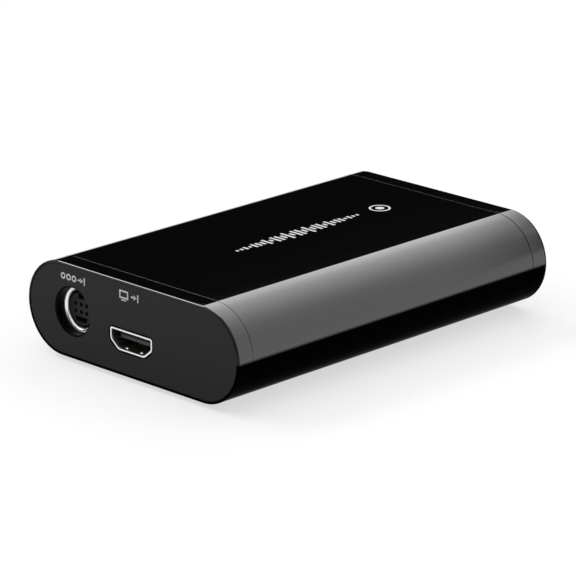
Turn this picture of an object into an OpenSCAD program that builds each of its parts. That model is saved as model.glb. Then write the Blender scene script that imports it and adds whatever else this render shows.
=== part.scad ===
// Video capture box: a flat black case with round sides, sockets at both ends and a board inside.
// The origin is the centre of the plane that the feet stand on.
// X runs across the case, Y from the input end to the output end, and Z up.

/* [Case] */
// Width of the case across its round sides
body_w = 75; // [72:0.5:84]
// Length of the case from end to end
body_l = 112; // [106:1:130]
// Height of the case without its feet
body_h = 24.6; // [23.6:0.2:29]
// Angle of the crease where a flat face meets the round side, in degrees
edge_break = 8; // [4:1:12]
// Wall thickness of the two shells
wall = 2; // [1.6:0.1:2.4]
// Height of the lip where the upper shell laps inside the lower one
lap_h = 1.2; // [0.8:0.1:2]
// Width of the fine groove along the parting line
parting_groove = 0.2; // [0.1:0.05:0.4]
// Clearance between moulded parts that slide together
fit_gap = 0.1; // [0.05:0.01:0.2]

/* [End bezels] */
// Length of the bezel ring that closes each end
bezel_l = 5.2; // [4:0.1:8]
// Width of the bezel's rim around the port plate
bezel_lip = 0.6; // [0.5:0.05:1.2]
// Chamfer on the bezel's outer edge
bezel_chamfer = 0.45; // [0.2:0.05:0.5]
// Chamfer on both sides of the seam between bezel and shells
seam_chamfer = 0.15; // [0.1:0.05:0.3]
// Length of the spigot that plugs into the shells
spigot_l = 4; // [3:0.5:6]
// Wall thickness of the spigot
spigot_t = 1.2; // [0.8:0.1:1.6]
// Width of the snap ridge on the spigot
snap_w = 12; // [6:1:20]
// Length of the snap ridge
snap_l = 1.2; // [0.8:0.1:2]
// Height of the snap ridge above the spigot
snap_h = 0.5; // [0.3:0.05:0.8]

/* [Port plates] */
// Thickness of a port plate
plate_t = 2; // [1.4:0.1:2.4]
// How far the plate sits behind the bezel's edge
plate_recess = 0.1; // [0.05:0.05:0.4]
// Gap between the plate's edge and the bezel
plate_gap = 0.08; // [0.05:0.01:0.2]
// Gap between a socket's metal shell and the plate
port_gap = 0.25; // [0.15:0.05:0.5]
// How far a socket's mouth sits behind the end of the case
mouth_recess = 0.2; // [0:0.05:0.6]

/* [Feet] */
// Radius of a rubber foot
foot_r = 5; // [3:0.5:6]
// Thickness of a rubber foot
foot_t = 2; // [1.6:0.1:3]
// Depth of the recess that a foot is glued into
foot_sink = 0.8; // [0.4:0.1:1.1]
// Chamfer around the foot's lower edge
foot_chamfer = 0.4; // [0.2:0.1:0.6]
// Distance from a foot's rim to the seam and to the edge of the flat underside
foot_margin = 1; // [0.6:0.1:2]

/* [Case screws] */
// Radius of the screw's shank
screw_r = 1.25; // [1:0.05:1.5]
// Length of the shank under the head
screw_l = 14; // [10:0.5:15]
// Radius of the screw's head
screw_head_r = 2.3; // [1.8:0.1:2.6]
// Height of the screw's head
screw_head_h = 1.7; // [1.2:0.1:2]
// Depth of the counterbore from the underside to the head's seat
screw_seat = 2.2; // [2:0.1:3]
// Clearance around a screw's shank
screw_gap = 0.1; // [0.05:0.05:0.2]
// Clearance around a screw's head
head_gap = 0.2; // [0.1:0.05:0.3]
// Outer radius of the post under the roof
post_r = 3; // [2.6:0.1:3.6]
// Outer radius of the boss on the floor
boss_r = 3.3; // [3.2:0.1:4]
// Distance from a counterbore's rim to the edge of the flat underside
post_margin = 1.6; // [1:0.1:3]
// Span of the cross recess in the screw's head
screw_cross = 2.6; // [2:0.1:3]
// Width of the cross recess
cross_w = 0.6; // [0.4:0.1:0.8]
// Depth of the cross recess
cross_depth = 0.9; // [0.5:0.1:1]

/* [Main board] */
// Thickness of the board
board_t = 1.6; // [1:0.1:2]
// Height of the board's underside above the floor of the case
board_lift = 2.8; // [2.6:0.1:4]
// Gap between the board's long edges and the bezel's bore
board_clear = 1.2; // [0.8:0.1:3]
// Gap between the board's ends and the flange of the round socket
board_end_gap = 0.4; // [0.2:0.1:2]
// Radius of the board's corners
board_corner = 2; // [1:0.5:4]
// Clearance around legs and pins in the board's holes
pin_gap = 0.15; // [0.1:0.05:0.2]
// How far legs and pins stand out under the board
pin_stub = 0.8; // [0.5:0.1:1.2]
// Spacing between neighbouring parts on the board
part_gap = 3; // [2.4:0.1:3.4]

/* [Board screws] */
// Radius of the board screw's shank
board_screw_r = 0.95; // [0.8:0.05:1.1]
// Length of the board screw's shank
board_screw_l = 4.6; // [4:0.1:5]
// Radius of the board screw's head
board_head_r = 1.9; // [1.6:0.1:2.2]
// Height of the board screw's head
board_head_h = 1.3; // [1:0.1:1.6]
// Span of the cross recess in the board screw's head
board_cross = 2.1; // [1.6:0.1:2.4]
// Outer radius of the standoff under the board screw
standoff_r = 2.6; // [2.2:0.1:3]
// Distance from the board's long edge to a board screw
board_screw_inset = 4; // [3:0.1:4.4]

/* [Video sockets] */
// Width of the opening
video_w = 14; // [13.6:0.1:14.4]
// Height of the opening
video_h = 4.55; // [4.2:0.05:5]
// Height of the opening's upright sides
video_side = 2.5; // [2:0.1:3]
// Width of the opening at its narrow base
video_base = 9; // [8:0.1:10.5]
// Thickness of the stamped shell
video_shell_t = 0.45; // [0.3:0.05:0.55]
// Length of the shell
video_l = 12; // [11:0.5:14]
// Rounding of the opening's corners
video_round = 0.5; // [0.3:0.05:0.7]
// Width of the contact tongue
video_tongue_w = 11.2; // [10.6:0.1:11.6]
// Thickness of the contact tongue
video_tongue_t = 1.2; // [1:0.1:1.4]
// Height of the tongue's middle above the opening's middle
video_tongue_rise = 0.4; // [0.2:0.05:0.6]
// Set-back of the tongue's tip from the mouth
video_tip = 1.8; // [1.2:0.1:3]
// Depth at which the insulator fills the shell
video_block = 8.5; // [7.5:0.1:9.5]
// Distance from the socket's middle to a spring leaf on its floor
video_leaf_x = 2.6; // [2:0.1:3]
// Pitch of the contacts in one row
video_pitch = 1; // [0.9:0.02:1.04]
// Number of contacts on top of the tongue
video_upper = 10; // [8:1:10]
// Number of contacts under the tongue
video_lower = 9; // [7:1:10]

/* [Data socket] */
// Distance from the case's right side to the data socket's middle
data_inset = 17.5; // [15:0.5:20]
// Width of the opening
data_w = 6.9; // [6.6:0.1:7.4]
// Height of the opening
data_h = 3.1; // [2.9:0.1:3.6]
// Height of the opening's upright sides
data_side = 1.5; // [1.2:0.1:1.8]
// Width of the opening at its narrow base
data_base = 5.4; // [4.8:0.1:6]
// Thickness of the stamped shell
data_shell_t = 0.35; // [0.3:0.05:0.45]
// Length of the shell
data_l = 9; // [8:0.5:11]
// Rounding of the opening's corners
data_round = 0.35; // [0.2:0.05:0.45]
// Width of the contact tongue
data_tongue_w = 4.4; // [4.1:0.1:4.8]
// Thickness of the contact tongue
data_tongue_t = 0.9; // [0.7:0.1:1]
// Height of the tongue's middle above the opening's middle
data_tongue_rise = 0.45; // [0.3:0.05:0.6]
// Set-back of the tongue's tip from the mouth
data_tip = 1.2; // [0.8:0.1:2]
// Depth at which the insulator fills the shell
data_block = 6.4; // [5.8:0.1:7]
// Distance from the socket's middle to a spring leaf on its floor
data_leaf_x = 1.5; // [1:0.1:1.8]
// Pitch of the contacts
data_pitch = 0.8; // [0.7:0.02:0.9]
// Number of contacts under the tongue
data_lower = 5; // [3:1:5]

/* [Socket details] */
// Width of a contact strip
contact_w = 0.32; // [0.24:0.02:0.36]
// Thickness of a contact strip
contact_t = 0.15; // [0.1:0.01:0.2]
// Clearance around a contact in its slot
contact_gap = 0.02; // [0.01:0.01:0.04]
// Clearance between an insulator and its shell
insulator_gap = 0.03; // [0.02:0.01:0.06]
// Set-back of a contact from the tongue's tip
contact_tip = 0.6; // [0.3:0.1:1]
// Length of a contact's soldered foot
contact_foot = 0.9; // [0.6:0.1:1.2]
// Distance from an insulator to the first row of soldered feet
tail_step = 0.5; // [0.4:0.05:0.6]
// Length of a shell's leg along the socket
leg_l = 1.6; // [1.2:0.1:2]
// Distance of the legs from the two ends of the shell
leg_end = 2; // [1.6:0.1:2.4]
// Width of a spring leaf on the shell's floor
leaf_w = 1.4; // [1:0.1:1.6]
// Length of a spring leaf
leaf_l = 3.6; // [3:0.1:4]
// Rise of a spring leaf into the opening
leaf_rise = 0.45; // [0.3:0.05:0.6]
// Set-back of a spring leaf from the mouth
leaf_tip = 1; // [0.6:0.1:1.6]

/* [Round socket] */
// Distance from the case's left side to the socket's axis
av_inset = 16.4; // [15.8:0.1:18]
// Height of the socket's axis above the board
av_axis_h = 5.95; // [5.8:0.05:7]
// Radius of the hole in the port plate
av_hole_r = 6.5; // [6.3:0.1:7]
// Set-back of the metal ring from the end of the case
av_depth = 2.5; // [2.5:0.1:3.4]
// Outer radius of the metal ring's flange
av_flange_r = 6; // [5.7:0.1:6.2]
// Thickness of the flange
av_flange_t = 0.6; // [0.4:0.1:0.8]
// Inner radius of the metal ring
av_bore_r = 5; // [4.9:0.05:5.1]
// Wall thickness of the ring's tube
av_tube_t = 0.4; // [0.3:0.05:0.45]
// Radius of the insulating core
av_core_r = 4.25; // [4.2:0.05:4.4]
// Set-back of the core's face from the flange
av_core_back = 0.5; // [0.2:0.1:1]
// Length of the core's base at its rear
av_base_l = 2; // [1.5:0.1:2.5]
// Clearance between the pieces of the round socket
av_gap = 0.05; // [0.03:0.01:0.08]
// Width of the housing
av_housing_w = 14; // [13:0.1:14.4]
// Length of the housing
av_housing_l = 9.5; // [9:0.1:10]
// Height of the housing above the axis
av_housing_up = 6.4; // [6:0.1:6.8]
// Pitch of the contact grid
av_pitch = 2; // [1.8:0.05:2.05]
// Height of the upper row of contacts above the axis
av_row_top = 1.2; // [1:0.1:1.4]
// Number of contacts in a row
av_columns = 3; // [2:1:3]
// Number of rows of contacts
av_rows = 2; // [1:1:2]
// Radius of a contact's hole in the core
av_pin_hole_r = 0.55; // [0.5:0.01:0.6]
// Outer radius of a contact sleeve
av_sleeve_r = 0.48; // [0.44:0.01:0.49]
// Inner radius of a contact sleeve
av_sleeve_bore_r = 0.36; // [0.3:0.01:0.4]
// Length of a contact sleeve
av_sleeve_l = 4; // [3:0.5:5]
// Set-back of a contact sleeve from the core's face
av_sleeve_back = 0.8; // [0.5:0.1:1.2]
// Radius of a contact's tail
av_tail_r = 0.3; // [0.25:0.01:0.32]
// Spacing of the tail rows behind the housing
av_tail_step = 1.2; // [1:0.1:1.4]
// Width of the key slot at the top of the core
av_key_w = 2; // [1.6:0.1:2.4]
// Height of the key slot's floor above the axis
av_key_z = 2.6; // [2.5:0.1:3]
// Depth of the two slots in the core
av_key_l = 4; // [3:0.5:5]
// Width of the wide slot below the contacts
av_slot_w = 4.2; // [3.4:0.1:4.6]
// Distance from the axis down to the wide slot
av_slot_drop = 2.1; // [1.9:0.1:2.4]
// Height of the wide slot
av_slot_h = 1.4; // [1:0.1:1.5]
// Least thickness of the core's wall beside the wide slot
av_slot_wall = 0.5; // [0.4:0.05:0.6]
// Room between the contact holes and the edge of the pocket behind them
av_pocket_edge = 0.35; // [0.2:0.05:0.4]

/* [Encoder and heat sink] */
// Side of the encoder's package
encoder_side = 17; // [15:0.5:18]
// Height of the encoder's package
encoder_h = 1.7; // [1.2:0.1:2]
// Side of the thermal pad
pad_side = 15; // [12:0.5:15]
// Thickness of the thermal pad
pad_t = 0.8; // [0.5:0.1:1.2]
// Side of the heat sink
sink_side = 22; // [18:0.5:24]
// Thickness of the heat sink's base
sink_base = 1.5; // [1:0.1:2]
// Height of the heat sink's fins
sink_fin_h = 6; // [4:0.5:7]
// Thickness of a fin
sink_fin_t = 0.9; // [0.6:0.1:1.2]
// Number of fins
sink_fins = 7; // [5:1:9]

/* [Other chips] */
// Length of a memory chip
memory_l = 12.5; // [11:0.5:13]
// Width of a memory chip
memory_w = 8; // [7:0.5:9]
// Height of a memory chip
memory_h = 1.1; // [0.8:0.1:1.4]
// Side of the packages beside the video sockets
link_side = 12; // [10:0.5:12.5]
// Side of the package beside the round socket
analog_side = 10; // [8:0.5:11]
// Length of the flash chip
flash_l = 5; // [4:0.5:6]
// Width of the flash chip
flash_w = 4; // [3.5:0.5:5]
// Height of a leaded package
package_h = 1.3; // [1:0.1:1.6]
// Height of a leaded package's underside above the board
package_lift = 0.15; // [0.1:0.05:0.25]
// Reach of a lead from its package
lead_reach = 1.2; // [0.9:0.1:1.3]
// Width of a lead
lead_w = 0.4; // [0.3:0.02:0.44]
// Thickness of a lead
lead_t = 0.16; // [0.1:0.02:0.2]
// Pitch of the leads
lead_pitch = 1; // [0.9:0.05:1.2]

/* [Small parts] */
// Radius of an electrolytic capacitor's can
can_r = 3.15; // [2.5:0.05:3.3]
// Height of an electrolytic capacitor
can_h = 5.8; // [4.5:0.1:7]
// Thickness of the base under the can
can_base = 0.9; // [0.6:0.1:1.2]
// Length of a crystal's can
crystal_l = 11; // [9:0.5:12]
// Width of a crystal's can
crystal_w = 4.6; // [4:0.1:5]
// Height of a crystal's can
crystal_h = 3.4; // [3:0.1:4.5]
// Thickness of the flange around a crystal's foot
crystal_foot = 0.5; // [0.3:0.1:0.8]
// Side of a power inductor
inductor_side = 6; // [5:0.5:6.5]
// Height of a power inductor
inductor_h = 3; // [2.5:0.1:4]
// Corner cut of a power inductor
inductor_cut = 1; // [0.6:0.1:1.4]
// Length of a chip capacitor
chip_cap_l = 1.6; // [1.2:0.1:1.8]
// Width and height of a chip capacitor
chip_cap_w = 0.8; // [0.6:0.05:0.9]
// Number of chip capacitors on each side of the encoder
chip_caps = 8; // [4:1:9]
// Length of a chip resistor
chip_res_l = 1; // [0.8:0.1:1.2]
// Width of a chip resistor
chip_res_w = 0.6; // [0.4:0.05:0.8]
// Height of a chip resistor
chip_res_h = 0.4; // [0.3:0.05:0.5]
// Number of chip resistors behind each video socket
chip_resistors_each = 7; // [4:1:7]

/* [Hidden] */
$fn = 96;
// Cutters run this far past the faces that they cut.
over = 1;

// Case section: two round sides cut off by the flat top and underside.
body_z = foot_t - foot_sink;
mid_z = body_z + body_h / 2;
top_z = body_z + body_h;
side_r = body_h / 2 / cos(edge_break);
side_x = body_w / 2 - side_r;
floor_z = body_z + wall;
roof_z = top_z - wall;
shell_l = body_l - 2 * bezel_l;
bore_inset = wall + fit_gap + spigot_t;

// Places of the board and of the sockets on it.
board_z = floor_z + board_lift;
board_top = board_z + board_t;
board_half = side_x + sqrt(pow(side_r - bore_inset, 2) - pow(mid_z - board_z, 2)) - board_clear;
board_l = body_l - 2 * (av_depth + av_flange_t + board_end_gap);
mouth_y = body_l / 2 - mouth_recess;
video_mid = video_shell_t + video_h / 2;
video_z = board_top + video_mid;
data_mid = data_shell_t + data_h / 2;
data_z = board_top + data_mid;
data_x = body_w / 2 - data_inset;
av_x = av_inset - body_w / 2;
av_z = board_top + av_axis_h;
av_end = av_flange_t + av_housing_l;
av_pocket_y = av_core_back + av_sleeve_back + av_sleeve_l + 2 * av_sleeve_r;
av_reach = av_depth + av_end + av_rows * av_tail_step + av_tail_r;

// Places of the fasteners and feet, as corners of rectangles about the middle.
post_x = side_x - post_margin - screw_head_r - head_gap;
post_y = body_l / 2 - av_reach - part_gap - post_r;
foot_x = side_x - foot_margin - foot_r;
foot_y = shell_l / 2 - foot_margin - foot_r;
board_screw_x = board_half - board_screw_inset;

// Places of the parts on the board.
tails_l = tail_step * 2 + contact_t + contact_foot;
link_span = link_side + 2 * lead_reach;
link_y = mouth_y - video_l - tails_l - part_gap - link_span / 2;
post_clear_y = post_y - post_r - part_gap;
analog_y = post_clear_y - analog_side / 2 - lead_reach;
flash_y = post_clear_y - flash_l / 2;
memory_x = encoder_side / 2 + part_gap + memory_w / 2;
can_x = video_w / 2 + video_shell_t + part_gap + can_r;
can_y = board_l / 2 - part_gap - can_r;
crystal_x = link_span / 2 + part_gap / 2 + crystal_w / 2 + crystal_foot;

// Direction of a vector, with length one.
function unit(v) = v / norm(v);

// Points of an arc that rounds the corner b between its neighbours a and c.
function corner_arc(a, b, c, radius, steps = 4) =
    let (to_a = unit(a - b), to_c = unit(c - b), half = acos(to_a * to_c) / 2)
    let (centre = b + unit(to_a + to_c) * radius / sin(half))
    let (from = b + to_a * radius / tan(half) - centre, turn = sign(cross(to_c, to_a)) * (180 - 2 * half))
    [for (i = [0 : steps]) let (t = turn * i / steps)
        centre + [from.x * cos(t) - from.y * sin(t), from.x * sin(t) + from.y * cos(t)]];

// Closed outline with every corner rounded.
function rounded(points, radius) =
    let (n = len(points))
    [for (i = [0 : n - 1])
        each corner_arc(points[(i + n - 1) % n], points[i], points[(i + 1) % n], radius)];

// Corners of a socket's opening, wide at the top and drawn in at its base, moved outwards by grow.
function port_corners(w, h, side, base, grow) =
    let (drop = h - side, run = (w - base) / 2, slant = norm([run, drop]))
    let (half = w / 2 + grow, foot = base / 2 + grow * (slant - run) / drop)
    let (top = h / 2 + grow, shoulder = h / 2 - side - grow * (slant - drop) / run)
    [[-foot, -top], [foot, -top], [half, shoulder], [half, top], [-half, top], [-half, shoulder]];

function video_corners(grow) = port_corners(video_w, video_h, video_side, video_base, grow);
function data_corners(grow) = port_corners(data_w, data_h, data_side, data_base, grow);

// Upper edge of a bar's lengthways section, with a chamfer at either end.
function bar_edge(y0, y1, reach, cut0, cut1) = concat(
    cut0 > 0 ? [[y0, reach - cut0], [y0 + cut0, reach]] : [[y0, reach]],
    cut1 > 0 ? [[y1 - cut1, reach], [y1, reach - cut1]] : [[y1, reach]]);

// Extrudes an outline drawn in X and Z from y0 to y1.
module along_y(y0, y1)
    translate([0, y1, 0]) rotate([90, 0, 0]) linear_extrude(height = y1 - y0) children();

// Extrudes an outline drawn in Y and Z across a width centred on x = 0.
module across_x(w)
    translate([-w / 2, 0, 0]) rotate([90, 0, 90]) linear_extrude(height = w) children();

// Box centred in X and Y that stands on z.
module block(size, z)
    translate([-size.x / 2, -size.y / 2, z]) cube(size);

// Turns a solid of revolution so that its axis lies along Y.
module turned_y()
    rotate([-90, 0, 0]) rotate_extrude() children();

// Places a copy at the four corners of a rectangle about the middle.
module at_corners(x, y)
    for (sx = [-1, 1], sy = [-1, 1]) translate([sx * x, sy * y, 0]) children();

// Places a copy on the right and on the left.
module on_both_sides(x)
    for (sx = [-1, 1]) translate([sx * x, 0, 0]) children();

// Places a copy, and its twin turned half round.
module twice_round()
    for (turn = [0, 180]) rotate([0, 0, turn]) children();

// Places a socket, drawn with its mouth at y = 0 and its depth along +Y, at the input end.
module at_front(x, z)
    translate([x, -mouth_y, z]) children();

// The same at the output end.
module at_rear(x, z)
    translate([x, mouth_y, z]) rotate([0, 0, 180]) children();

// Bar with the case's section, drawn in by inset, from y0 to y1, with chamfers on its end edges.
module body_bar(y0, y1, inset = 0, cut0 = 0, cut1 = 0) {
    rod_r = side_r - inset;
    half_h = body_h / 2 - inset;
    core_h = rod_r + half_h;
    rod = [for (p = bar_edge(y0, y1, rod_r, cut0, cut1)) [p.y, p.x]];
    slab = bar_edge(y0, y1, half_h, cut0, cut1);
    intersection() {
        union() {
            on_both_sides(side_x) translate([0, 0, mid_z]) turned_y()
                polygon(concat([[0, y0]], rod, [[0, y1]]));
            translate([-side_x, y0, mid_z - core_h / 2]) cube([2 * side_x, y1 - y0, core_h]);
        }
        translate([0, 0, mid_z]) across_x(body_w + 2 * over)
            polygon(concat(slab, [for (i = [len(slab) - 1 : -1 : 0]) [slab[i].x, -slab[i].y]]));
    }
}

// Part of the case between two heights.
module between(z0, z1)
    block([body_w + 2 * over, body_l + 2 * over, z1 - z0], z0);

// Hollow bar between the two bezels.
module shell_tube() {
    difference() {
        body_bar(-shell_l / 2, shell_l / 2, 0, seam_chamfer, seam_chamfer);
        body_bar(-shell_l / 2 - over, shell_l / 2 + over, wall);
    }
}

// Fine groove along the parting line on both sides.
module parting_cut()
    on_both_sides(body_w / 2) translate([0, 0, mid_z]) rotate([0, 45, 0])
        cube([parting_groove, shell_l + 2 * over, parting_groove], center = true);

// Pocket in a shell's wall for the snap ridge, at the height z.
module snap_pockets(z)
    twice_round() translate([0, -shell_l / 2 + spigot_l / 2, 0])
        block([snap_w + 2 * fit_gap, snap_l + 2 * fit_gap, 2 * snap_h], z - snap_h);

// Screw with a flat round head at the bottom and its shank along +Z from z = 0.
module screw(shank_r, shank_l, head_r, head_h, cross_l) {
    difference() {
        union() {
            translate([0, 0, -head_h]) cylinder(r = head_r, h = head_h);
            cylinder(r = shank_r, h = shank_l);
        }
        block([cross_l, cross_w, cross_depth + over], -head_h - over);
        block([cross_w, cross_l, cross_depth + over], -head_h - over);
    }
}

// Upper half of the case, with the posts that take the case screws.
module top_shell() {
    tip_z = body_z + screw_seat + screw_l;
    color("#141416") difference() {
        union() {
            intersection() {
                shell_tube();
                between(mid_z, top_z + over);
            }
            intersection() {
                difference() {
                    body_bar(-shell_l / 2, shell_l / 2, wall / 2 + fit_gap);
                    body_bar(-shell_l / 2 - over, shell_l / 2 + over, wall);
                }
                between(mid_z - lap_h, mid_z + lap_h);
            }
            at_corners(post_x, post_y) translate([0, 0, board_top])
                cylinder(r = post_r, h = roof_z + wall / 2 - board_top);
        }
        at_corners(post_x, post_y) translate([0, 0, board_top - over])
            cylinder(r = screw_r + screw_gap, h = tip_z + screw_gap - board_top + over);
        snap_pockets(roof_z);
        parting_cut();
    }
}

// Lower half of the case, with its bosses, standoffs and the recesses for the feet.
module bottom_shell() {
    color("#141416") difference() {
        union() {
            difference() {
                intersection() {
                    shell_tube();
                    between(body_z - over, mid_z);
                }
                intersection() {
                    body_bar(-shell_l / 2 - over, shell_l / 2 + over, wall / 2);
                    between(mid_z - lap_h - fit_gap, mid_z + over);
                }
            }
            at_corners(post_x, post_y) translate([0, 0, floor_z - wall / 2])
                cylinder(r = boss_r, h = board_lift + wall / 2);
            on_both_sides(board_screw_x) translate([0, 0, floor_z - wall / 2])
                cylinder(r = standoff_r, h = board_lift + wall / 2);
        }
        at_corners(post_x, post_y) translate([0, 0, body_z - over])
            cylinder(r = screw_r + screw_gap, h = board_z - body_z + 2 * over);
        at_corners(post_x, post_y) translate([0, 0, body_z - over])
            cylinder(r = screw_head_r + head_gap, h = screw_seat + over);
        on_both_sides(board_screw_x) translate([0, 0, board_top - board_screw_l - screw_gap])
            cylinder(r = board_screw_r + screw_gap, h = board_screw_l + over);
        at_corners(foot_x, foot_y) translate([0, 0, body_z - over])
            cylinder(r = foot_r + fit_gap, h = foot_sink + over);
        snap_pockets(floor_z);
        parting_cut();
    }
}

// Glossy ring that closes one end: rim, ledge for the port plate, and the spigot with its snap ridges.
module bezel() {
    end_y = -body_l / 2;
    seam_y = -shell_l / 2;
    ridge_z = mid_z - body_h / 2 + wall + fit_gap - snap_h;
    difference() {
        union() {
            body_bar(end_y, seam_y, 0, bezel_chamfer, seam_chamfer);
            body_bar(seam_y - seam_chamfer, seam_y + spigot_l, wall + fit_gap);
            translate([0, seam_y + spigot_l / 2, 0])
                block([snap_w, snap_l, 2 * (mid_z - ridge_z)], ridge_z);
        }
        body_bar(end_y - over, end_y + plate_recess + plate_t, bezel_lip);
        body_bar(end_y - over, seam_y + spigot_l + over, bore_inset);
    }
}

module front_bezel() color("#161618") bezel();

module rear_bezel() color("#161618") rotate([0, 0, 180]) bezel();

// Blank of a port plate at the input end.
module plate_blank() {
    face_y = -body_l / 2 + plate_recess;
    body_bar(face_y, face_y + plate_t, bezel_lip + plate_gap);
}

// Hole in a port plate that clears a socket's shell.
module port_hole(corners, radius)
    along_y(-over - mouth_recess, plate_t + over) polygon(rounded(corners, radius));

module video_hole()
    port_hole(video_corners(video_shell_t + port_gap), video_round + video_shell_t);

// Matte plate with the holes of the round socket and the video input.
module front_port_plate() {
    color("#303033") difference() {
        plate_blank();
        at_front(0, video_z) video_hole();
        translate([av_x, -body_l / 2 - over, av_z]) rotate([-90, 0, 0])
            cylinder(r = av_hole_r, h = plate_t + 2 * over);
    }
}

// Matte plate with the holes of the video output and the data socket.
module rear_port_plate() {
    color("#303033") difference() {
        rotate([0, 0, 180]) plate_blank();
        at_rear(0, video_z) video_hole();
        at_rear(data_x, data_z) port_hole(data_corners(data_shell_t + port_gap), data_round + data_shell_t);
    }
}

// Four round feet, chamfered at the edge that meets the table.
module rubber_feet() {
    color("#1d1d1f") at_corners(foot_x, foot_y) rotate_extrude()
        polygon([
            [0, 0], [foot_r - foot_chamfer, 0], [foot_r, foot_chamfer], [foot_r, foot_t], [0, foot_t]
        ]);
}

// Four screws that clamp the shells and the board together.
module case_screws() {
    color("#3a3a3e") at_corners(post_x, post_y) translate([0, 0, body_z + screw_seat])
        screw(screw_r, screw_l, screw_head_r, screw_head_h, screw_cross);
}

// Two small screws that hold the board on its standoffs.
module board_screws() {
    color("#b8b8bc") on_both_sides(board_screw_x) translate([0, 0, board_top]) mirror([0, 0, 1])
        screw(board_screw_r, board_screw_l, board_head_r, board_head_h, board_cross);
}

// Legs of a socket's shell, drawn for a shell whose half width, length and middle height are given.
module socket_legs(half_w, t, length, middle, grow = 0) {
    foot_level = -middle - board_t - pin_stub;
    for (y = [leg_end + leg_l, length - leg_end - leg_l])
        on_both_sides(half_w + t / 2) translate([0, y, 0])
            block([t + 2 * grow, leg_l + 2 * grow, -foot_level + 2 * grow], foot_level - grow);
}

// Stamped shell of a socket: a tube with legs, and two spring leaves on its floor.
module socket_shell(inner, outer, leaf_x, half_w, t, length, middle) {
    difference() {
        along_y(0, length) polygon(outer);
        along_y(-over, length + over) polygon(inner);
    }
    socket_legs(half_w, t, length, middle);
    leaf_end = leaf_tip + leaf_l;
    on_both_sides(leaf_x) translate([0, 0, t - middle]) across_x(leaf_w)
        polygon([
            [leaf_tip, -t / 2], [leaf_end, -t / 2], [leaf_end, 0],
            [leaf_tip + leaf_l / 2, leaf_rise], [leaf_tip, 0]
        ]);
}

// Contact strips of one row on a tongue, each bent down behind the insulator to its soldered foot.
module contact_row(count, pitch, face, up, tip, length, row, middle, grow = 0) {
    base = up > 0 ? face : face - contact_t;
    tail_y = length + row * tail_step;
    strip = [contact_w + 2 * grow, tail_y + contact_t - tip + 2 * grow, contact_t + 2 * grow];
    for (i = [0 : count - 1]) translate([(i - (count - 1) / 2) * pitch, 0, 0]) {
        translate([-strip.x / 2, tip - grow, base - grow]) cube(strip);
        translate([-contact_w / 2, tail_y, -middle]) {
            cube([contact_w, contact_t, base + contact_t + middle]);
            cube([contact_w, contact_t + contact_foot, contact_t]);
        }
    }
}

// Insulator of a socket: a block that fills the shell's rear, and the tongue in front of it.
module socket_insulator(corners, radius, tongue_w, tongue_t, rise, tip, start, length) {
    along_y(start, length) polygon(rounded(corners, radius));
    translate([-tongue_w / 2, tip, rise - tongue_t / 2]) cube([tongue_w, length - tip, tongue_t]);
}

// Both contact rows of a video socket.
module video_contact_rows(grow = 0) {
    tip = video_tip + contact_tip;
    upper = video_tongue_rise + video_tongue_t / 2;
    lower = video_tongue_rise - video_tongue_t / 2;
    contact_row(video_upper, video_pitch, upper, 1, tip, video_l, 2, video_mid, grow);
    contact_row(video_lower, video_pitch, lower, -1, tip, video_l, 1, video_mid, grow);
}

module video_shell() {
    inner = rounded(video_corners(0), video_round);
    outer = rounded(video_corners(video_shell_t), video_round + video_shell_t);
    socket_shell(inner, outer, video_leaf_x, video_w / 2, video_shell_t, video_l, video_mid);
}

module video_insulator() {
    difference() {
        socket_insulator(video_corners(-insulator_gap), video_round - insulator_gap,
            video_tongue_w, video_tongue_t, video_tongue_rise, video_tip, video_block, video_l);
        video_contact_rows(contact_gap);
    }
}

module video_in_shell() color("#c4c4c8") at_front(0, video_z) video_shell();

module video_in_insulator() color("#1a1a1c") at_front(0, video_z) video_insulator();

module video_in_contacts() color("#d0a848") at_front(0, video_z) video_contact_rows();

module video_out_shell() color("#c4c4c8") at_rear(0, video_z) video_shell();

module video_out_insulator() color("#1a1a1c") at_rear(0, video_z) video_insulator();

module video_out_contacts() color("#d0a848") at_rear(0, video_z) video_contact_rows();

// Contact row of the data socket, on the lower face of its tongue.
module data_contact_row(grow = 0) {
    tip = data_tip + contact_tip;
    lower = data_tongue_rise - data_tongue_t / 2;
    contact_row(data_lower, data_pitch, lower, -1, tip, data_l, 1, data_mid, grow);
}

module data_shell() {
    inner = rounded(data_corners(0), data_round);
    outer = rounded(data_corners(data_shell_t), data_round + data_shell_t);
    color("#c4c4c8") at_rear(data_x, data_z)
        socket_shell(inner, outer, data_leaf_x, data_w / 2, data_shell_t, data_l, data_mid);
}

module data_insulator() {
    color("#1a1a1c") at_rear(data_x, data_z) difference() {
        socket_insulator(data_corners(-insulator_gap), data_round - insulator_gap,
            data_tongue_w, data_tongue_t, data_tongue_rise, data_tip, data_block, data_l);
        data_contact_row(contact_gap);
    }
}

module data_contacts() color("#d0a848") at_rear(data_x, data_z) data_contact_row();

// Places the round socket, drawn with its flange's face at y = 0 on the socket's axis.
module at_av()
    translate([av_x, av_depth - body_l / 2, av_z]) children();

// Places of the round socket's contacts, by column and row, and of the tails behind the housing.
function av_column_x(i) = (i - (av_columns - 1) / 2) * av_pitch;
function av_row_z(j) = av_row_top - j * av_pitch;
function av_tail_y(j) = av_end + (av_rows - j) * av_tail_step;

// Moulded block that carries the round socket on the board.
module av_in_housing() {
    color("#1a1a1c") at_av() difference() {
        translate([-av_housing_w / 2, av_flange_t, -av_axis_h])
            cube([av_housing_w, av_housing_l, av_axis_h + av_housing_up]);
        rotate([-90, 0, 0]) cylinder(r = av_bore_r + av_tube_t + av_gap, h = av_end + over);
    }
}

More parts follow.
